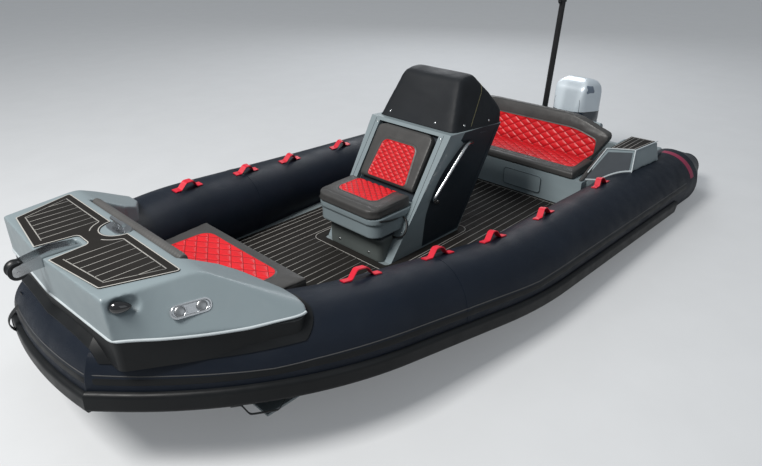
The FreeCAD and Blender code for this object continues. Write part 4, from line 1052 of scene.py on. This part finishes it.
def around_tube(tree, x, leans, count=24):
    """Spots round the port tube at one x, between two angles above its outer side."""
    (x0, y0, z0), (x1, _, z1) = TUBE_LINE[:2]
    z = z0 + (z1 - z0) * (x - x0) / (x1 - x0)
    spots = []
    for angle in np.radians(np.linspace(*leans, count + 1)):
        ray = Vector((0, math.cos(angle), math.sin(angle)))
        found = hits(tree, [Vector((x, y0, z)) + ray * TUBE_RAY], -ray)
        spots += [(spot, facing(normal, ray)) for spot, normal in found]
    return spots


def tube_trim():
    """Tape and a bead above the strake, the red stripe and the pale patch near the stern."""
    tree = tree_of(*TUBE_NODES)
    tape = strip_data(tube_spots(tree, TAPE_LEAN), TAPE_WIDTH, TAPE_RISE)
    trim_piece("strake_tape", [tape], "strake_rubber")
    bead = strip_data(tube_spots(tree, BEAD_LEAN), BEAD_WIDTH, BEAD_RISE)
    trim_piece("strake_bead", [bead], "tape_edge", "strake_rubber")
    stripe = strip_data(around_tube(tree, STRIPE_X, STRIPE_LEANS), STRIPE_W, PATCH_RISE)
    trim_piece("stern_stripes", both(stripe), "stripe_red", "tube_fabric")
    aft, fore = (around_tube(tree, x, PATCH_LEANS, 8) for x in PATCH_X)
    trim_piece("stern_patches", both(patch_data(aft + fore[::-1], PATCH_RISE)), "pale_fabric", "tube_fabric")


def nose_strap():
    """The black strap that hangs on the starboard side of the nose."""
    feet = hits(tree_of("tube_nose", "tube_shoulder_starboard"), NOSE_STRAP_FEET, ASTERN)
    (spot_a, out_a), (spot_b, out_b) = ((spot, facing(out, AHEAD)) for spot, out in feet)
    course = []
    for share in np.linspace(0, 1, 33):
        out = (out_a * (1 - share) + out_b * share).normalized()
        bulge = math.sin(math.pi * step_up(share, 0.08, 0.92)) * NOSE_STRAP_RISE
        course.append((spot_a + (spot_b - spot_a) * share + out * (bulge + NOSE_STRAP_LIFT), out))
    strap = strip_data(course, NOSE_STRAP_WIDTH, NOSE_STRAP_THICK, sink=0.002)
    trim_piece("nose_strap", [strap], "handle_black")


# Trim on the bow

LAMP_ALONG = (-0.905, 0.40, -0.14)
LAMP_OUT = (0.28, 0.80, 0.53)
LAMP_LONG = 0.042
LAMP_HIGH = 0.028
LAMP_SHIFT = 0.006
LAMP_FILL = 0.86
LAMP_TAPER = 0.28
CLEAT_TOP = 0.003
CLEAT_RIM = ((-0.077, -0.022), (0.077, 0.022))
CLEAT_RIM_CORNER = 0.0218
CLEAT_RIM_R = 0.0028
CLEAT_PLATE = ((-0.017, -0.014), (0.017, 0.014))
CLEAT_PLATE_CORNER = 0.004
CLEAT_PLATE_RISE = 0.004
CLEAT_DISC_R = 0.0215
CLEAT_DISC_RISE = 0.0045
CLEAT_DISC_OUT = 0.044
CLEAT_RING_R = CLEAT_DISC_R + 0.001
CLEAT_RING_BAR = 0.0018
LIP_LINE = ((1.737, 0.652), (2.500, 0.710))
LIP_CENTRE_X = 1.80
LIP_TURN = math.radians(93)
LIP_R = 0.0065


def frame_of(node_name, hand):
    """Middle, long side, short side and outward direction of a flat CAD plate on one side of the boat."""
    points, middle = side_points(node_name, hand)
    _, _, rows = np.linalg.svd(points - points.mean(0), full_matrices=False)
    out = facing(Vector(rows[2]), (0, hand, 0))
    along = Vector(rows[0])
    return Vector(middle), along, out.cross(along), out


def cleat_trim():
    """Two round discs, a middle plate and a raised rim on each flush cleat."""
    for hand, name in ((1, "port"), (-1, "starboard")):
        middle, along, aside, out = frame_of("flush_cleats", hand)
        top = middle + out * CLEAT_TOP
        discs = [(top + along * (side * CLEAT_DISC_OUT), out) for side in (1, -1)]
        domes("cleat_discs_" + name, discs, CLEAT_DISC_R, CLEAT_DISC_RISE, "brushed_steel")
        rings = [(rectangle(CLEAT_RIM, CLEAT_RIM_CORNER), CLEAT_RIM_R)]
        for side in (1, -1):
            circle = [(side * CLEAT_DISC_OUT + CLEAT_RING_R * math.cos(turn), CLEAT_RING_R * math.sin(turn))
                      for turn in turns(24)]
            rings.append((circle, CLEAT_RING_BAR))
        parts = [tube_data([top + along * u + aside * v for u, v in ring], bar, True) for ring, bar in rings]
        plate = rectangle(CLEAT_PLATE, CLEAT_PLATE_CORNER)
        parts.append(patch_data([(top + along * u + aside * v, out) for u, v in plate], CLEAT_PLATE_RISE))
        trim_piece("cleat_rims_" + name, parts, "polished_steel")


def bow_lip():
    """A lip round the moulding's lower edge, in a lighter copy of the gelcoat: a painted highlight."""
    tree = tree_of("bow_cap")
    (aft, low), (fore, high) = LIP_LINE
    climb = (high - low) / (fore - aft)
    centre = Vector((LIP_CENTRE_X, 0, low + climb * (LIP_CENTRE_X - aft)))
    course = []
    for angle in np.linspace(-LIP_TURN, LIP_TURN, 150):
        ray = Vector((math.cos(angle), math.sin(angle), climb * math.cos(angle)))
        found = hits(tree, [centre + ray * 1.6], -ray)
        course += [spot for spot, _ in found if (spot - centre).dot(ray) > 0.3]
    course = [(course[max(i - 1, 0)] + spot * 2 + course[min(i + 1, len(course) - 1)]) / 4
              for i, spot in enumerate(course)]
    trim_piece("bow_lip", [tube_data(course, LIP_R, False, 10)], "gelcoat_painted_highlight", "gelcoat_grey")


def lamp_shells():
    """Black teardrop lamps in their pockets."""
    rows, columns = 14, 28
    parts = []
    for hand in (1, -1):
        points, centre = side_points("nav_lamps", hand)
        reach = (points.max(0) - points.min(0)).max() / 2
        along, out = (np.array((x, hand * y, z)) for x, y, z in (LAMP_ALONG, LAMP_OUT))
        along /= np.linalg.norm(along)
        out -= along * (out @ along)
        out /= np.linalg.norm(out)
        up = np.cross(out, along)
        shell = []
        for r in range(rows + 1):
            x = -math.cos(math.pi * r / rows)
            girth = math.sin(math.pi * r / rows) * (1 - LAMP_TAPER * x) * LAMP_FILL
            for turn in turns(columns):
                place = centre + along * (x * LAMP_LONG + LAMP_SHIFT) + out * (girth * reach * math.cos(turn))
                shell.append(place + up * (girth * LAMP_HIGH * math.sin(turn)))
        parts.append((shell, quads(rows + 1, columns)))
    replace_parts(trim_piece("lamp_shells", parts, "lamp_lens", angle=180), "nav_lamps")


# Trim on the console and stern

# Course of the groove on each front pillar, drawn as a dark strip of painted shade
GROOVE = ((0.152, 0.927), (0.29, 0.741), (0.446, 0.477), (0.538, 0.33))
GROOVE_W = 0.0045
GROOVE_RISE = 0.0006
PILLAR_Y = 0.300
SCREW_Y = 0.283
SCREWS_Z = (0.905, 0.36)
SCREW_R = 0.0055
SCREW_RISE = 0.002
PLATE_RISE = 0.0015
RAIL_SIDE = (0.300, 0.0686, 0.177)
RAIL_COURSE = ((-0.130, 0.832, 0.002), (-0.020, 0.862, 0.046), (0.285, 0.545, 0.046), (0.175, 0.485, 0.002))
RAIL_BEND = 0.12
RAIL_R = 0.0115
RAIL_MOUNT = 0.045
RAIL_MOUNT_R = RAIL_R * 1.35
HATCH_FIELD = ((0.085, 0.215), (0.425, 0.350))
HATCH_CORNER = 0.025
# Heights of the recess band in the seat base, coloured dark as painted shade
SHADED_RECESS_Z = (0.337, 0.376)
# Field of the dark plate of painted shade in the bay behind the seat back
BAY_SHADE_FIELD = ((-0.260, 0.512), (0.260, 0.910))
STRAP_LOOP = ((0.686, 0.283, 0.506), (0.578, 0.283, 0.478), (0.44, 0.252, 0.459), (0.458, 0.303, 0.432),
              (0.495, 0.329, 0.375), (0.519, 0.3, 0.338), (0.527, 0.238, 0.326), (0.512, 0.215, 0.348))
STRAP_LOOP_R = 0.0065
PLINTH_BOLTS = ((1.5, -0.138, 0.222), (1.5, 0.138, 0.222))
BOLT_R = 0.009
BOLT_RISE = 0.004
SIDE_REAR = (
    ((-0.062, 0.193), (-0.090, 0.193), (-0.472, 0.882), (-0.398, 0.868)),
    ((-0.398, 0.862), (-0.472, 0.880), (-0.456, 0.893), (-0.300, 0.909), (-0.215, 0.882)),
    ((-0.218, 0.880), (-0.300, 0.909), (-0.050, 0.927), (-0.010, 0.875), (-0.042, 0.848)),
)
STEP_CORNERS = ((-1.283, 0.789, 0.600), (-1.390, 0.965, 0.600), (-1.265, 1.012, 0.400),
                (-1.050, 0.735, 0.400))
STEP_TOP_Z = 0.6065
STEP_EDGE_R = 0.0045
INLAY_INSET = 0.026
INLAY_RISE = 0.0035
FLANGE_W = 0.016
FLANGE_RISE = 0.005


def console_trim():
    """A dark strip down each front pillar as painted shade of its groove, with its screws, and dark strips on
    the console's sides.
    """
    tree = tree_of("console")
    side_tree = tree_of("console", "console_panels")
    lines, heads, plates = [], [], []
    for hand in (1, -1):
        starts = [(x + 0.5, hand * PILLAR_Y, z) for x, z in stepped(GROOVE, 8)]
        course = [row for row in hits(tree, starts, ASTERN) if row[1].x > 0.3]
        lines.append(strip_data(course, GROOVE_W, GROOVE_RISE))
        heads += hits(tree, [(1.2, hand * SCREW_Y, z) for z in SCREWS_Z], ASTERN)
    for outline in SIDE_REAR:
        starts = [(x, 1.0, z) for x, z in stepped(outline, 8, True)]
        plates.append(patch_data(hits(side_tree, starts, (0, -1, 0), ACROSS), PLATE_RISE))
    trim_piece("console_side_strips", both(*plates), "dark_panel")
    # The groove is drawn as a dark strip: painted shade
    trim_piece("pillar_groove_shade", lines, "dark_panel")
    domes("pillar_screws", heads, SCREW_R, SCREW_RISE, "polished_steel")


def seat_trim(base):
    """Tones of the seat base's layers with its recess band dark as painted shade, a dark plate as painted shade
    in the bay behind the back, the strap loop and the plinth's bolts.
    """
    for name in ("plinth_grey", "dark_panel"):
        base.data.materials.append(MATERIALS[name])
    # Faces in the recess band take the dark panel as painted shade; those below it take the plinth's grey
    for face in base.data.polygons:
        z = face.center.z
        face.material_index = 2 if SHADED_RECESS_Z[0] < z < SHADED_RECESS_Z[1] else int(z < SHADED_RECESS_Z[0])
    # A dark plate on the bay floor behind the seat back: painted shade
    starts = [(1.5, y, z) for y, z in stepped(rectangle(BAY_SHADE_FIELD), 10, True)]
    bay = patch_data(hits(tree_of("console"), starts, ASTERN, AHEAD), PLATE_RISE)
    trim_piece("seat_bay_shade", [bay], "dark_panel")
    loop = tube_data(smooth_course(STRAP_LOOP), STRAP_LOOP_R, False, 10)
    trim_piece("strap_loops", both(loop), "handle_black")
    bolts = hits(tree_of("seat_base"), PLINTH_BOLTS, ASTERN, AHEAD)
    domes("plinth_bolts", bolts, BOLT_R, BOLT_RISE, "brushed_steel")


def smooth_course(corners):
    """A course through the given points, with its bends rounded."""
    course = [Vector(p) for p in corners]
    for _ in range(3):
        drawn = [course[0]]
        for a, b in zip(course, course[1:]):
            drawn += [a * 0.75 + b * 0.25, a * 0.25 + b * 0.75]
        course = drawn + [course[-1]]
    return course


def rails():
    """Polished rails on the console's sides, with black mounts where they turn in."""
    y0, lean, z0 = RAIL_SIDE
    corners = [Vector((x, y0 + lean * (z - z0) + out, z)) for x, z, out in RAIL_COURSE]
    course = []
    for a, b in zip(corners, corners[1:]):
        course += [a.lerp(b, RAIL_BEND), a.lerp(b, 1 - RAIL_BEND)]
    bar = tube_data(smooth_course([corners[0]] + course + [corners[-1]]), RAIL_R, False, 20)
    mounts = []
    for end, ahead in (corners[:2], corners[:1:-1]):
        mounts.append(tube_data([end, end + (ahead - end).normalized() * RAIL_MOUNT], RAIL_MOUNT_R, False, 20))
    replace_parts(trim_piece("side_rails", both(bar), "polished_steel", angle=60), "grab_rails")
    trim_piece("rail_mounts", both(*mounts), "black_paint")


def stern_lines():
    """The flange where each step meets the tube, in a lighter copy of the gelcoat as a painted highlight, and a
    dark line round the bench's hatch as painted shade in its gap.
    """
    tree = tree_of("tube_port")
    top_in, top_out, foot_out, foot_in = (Vector(corner) for corner in STEP_CORNERS)
    out = facing((top_out - foot_in).cross(foot_out - top_in).normalized(), AHEAD)
    course = []
    for share in np.linspace(0, 1, 16):
        top, foot = top_in.lerp(top_out, share), foot_in.lerp(foot_out, share)
        down = (foot - top).normalized()
        spot = tree.ray_cast(top, down, (foot - top).length)[0]
        course.append(((foot if spot is None else spot) - down * 0.006 + out * 0.001, out))
    flange = strip_data(course, FLANGE_W, FLANGE_RISE)
    # The flange is a lighter copy of the gelcoat: painted highlight
    trim_piece("step_flanges", both(flange), "gelcoat_painted_highlight", "gelcoat_grey")
    # A dark strip round the hatch: painted shade in the gap
    starts = [(0, y, z) for y, z in rectangle(HATCH_FIELD, HATCH_CORNER)]
    ring = hits(tree_of("bench_base", "bench_hatch"), starts, ASTERN, AHEAD)
    trim_piece("hatch_gap_shade", [strip_data(ring, 0.005, 0.0010, True)], "dark_panel")


def step_trim():
    """The dark inlay on the step's sloping front, and bars in a lighter copy of the gelcoat along the edges
    round it as painted highlights.
    """
    corners = [Vector(corner) for corner in STEP_CORNERS]
    middle = sum(corners, Vector()) / 4
    out = facing((corners[1] - corners[3]).cross(corners[2] - corners[0]).normalized(), AHEAD)
    drawn = [corner + (middle - corner).normalized() * INLAY_INSET for corner in corners]
    plate = patch_data([(spot, out) for spot in stepped(drawn, 6, True)], INLAY_RISE)
    trim_piece("step_inlays", both(plate), "step_dark", "dark_panel")
    top = [Vector((x, y, STEP_TOP_Z)) for x, y in STEP_OUTLINE]
    courses = ([top[0], corners[3]], [top[1], corners[2]], top[:3])
    edges = [tube_data(course, STEP_EDGE_R) for course in courses]
    trim_piece("step_edges", both(*edges), "gelcoat_painted_highlight", "gelcoat_grey")


build_pads()
build_cover()
deck_lines()
bow_lines()
step_lines()
rails()
stern_lines()
moulded("bow_moulding", "bow_cap", 0.0072, 5)
moulded("step_mouldings", "stern_steps", 0.007, 4)
seat_trim(moulded("seat_moulding", "seat_base", 0.006, 3))
engine_hood()
tube_trim()
nose_strap()
cleat_trim()
bow_lip()
lamp_shells()
console_trim()
step_trim()


# Floor, light and camera

FLOOR_PALE = (0.46, 0.47, 0.48)
FLOOR_GLOW = (0.16, 0.165, 0.17, 1)
SKY = (0.80, 0.86, 0.92, 1)
SKY_STRENGTH = 0.32
LIT_AT = (0.3, 0, 0.4)
# Name, place, size, power and colour
LAMPS = (
    ("key", (5.6, -0.6, 7.2), 2.8, 820.0, (1.0, 0.98, 0.95)),
    ("fill", (0.5, 7.5, 4.5), 5.0, 45.0, (0.92, 0.96, 1.0)),
    ("rim", (-6.0, -4.0, 5.0), 4.0, 170.0, (0.95, 0.97, 1.0)),
)


def stood(name, data, at, look):
    """A lamp or a camera at a place, which looks in a direction."""
    made = linked(name, data)
    made.location = at
    made.rotation_euler = look.to_track_quat("-Z", "Y").to_euler()
    return made


def stage():
    """A pale floor at the waterline, soft lamps and the photograph's camera."""
    scene = bpy.context.scene
    bpy.ops.mesh.primitive_plane_add(size=60, location=(0, 0, 0))
    floor = bpy.context.object
    floor.name = "floor"
    pale = plain("floor_pale", FLOOR_PALE, 0.85, 40.0, 0.0005, 0.02)
    shader = pale.node_tree.nodes["Principled BSDF"]
    shader.inputs["Emission Color"].default_value = FLOOR_GLOW
    path = pale.node_tree.nodes.new("ShaderNodeLightPath")
    pale.node_tree.links.new(path.outputs["Is Camera Ray"], shader.inputs["Emission Strength"])
    floor.data.materials.append(pale)
    scene.world = bpy.data.worlds.new("sky")
    scene.world.use_nodes = True
    back = scene.world.node_tree.nodes["Background"]
    back.inputs["Color"].default_value = SKY
    back.inputs["Strength"].default_value = SKY_STRENGTH
    for name, at, size, power, colour in LAMPS:
        data = bpy.data.lights.new(name, "AREA")
        data.energy, data.size, data.color = power, size, colour
        stood(name, data, at, Vector(LIT_AT) - Vector(at))
    data = bpy.data.cameras.new("camera")
    yaw, pitch = math.radians(CAMERA_YAW), math.radians(CAMERA_PITCH)
    look = Vector((math.cos(yaw) * math.cos(pitch), math.sin(yaw) * math.cos(pitch), -math.sin(pitch)))
    scene.camera = stood("camera", data, CAMERA_AT, look)
    data.lens = FOCAL_PX / IMAGE_W * data.sensor_width
    data.clip_start, data.clip_end = 0.05, 100
    scene.view_settings.view_transform = "Standard"


stage()
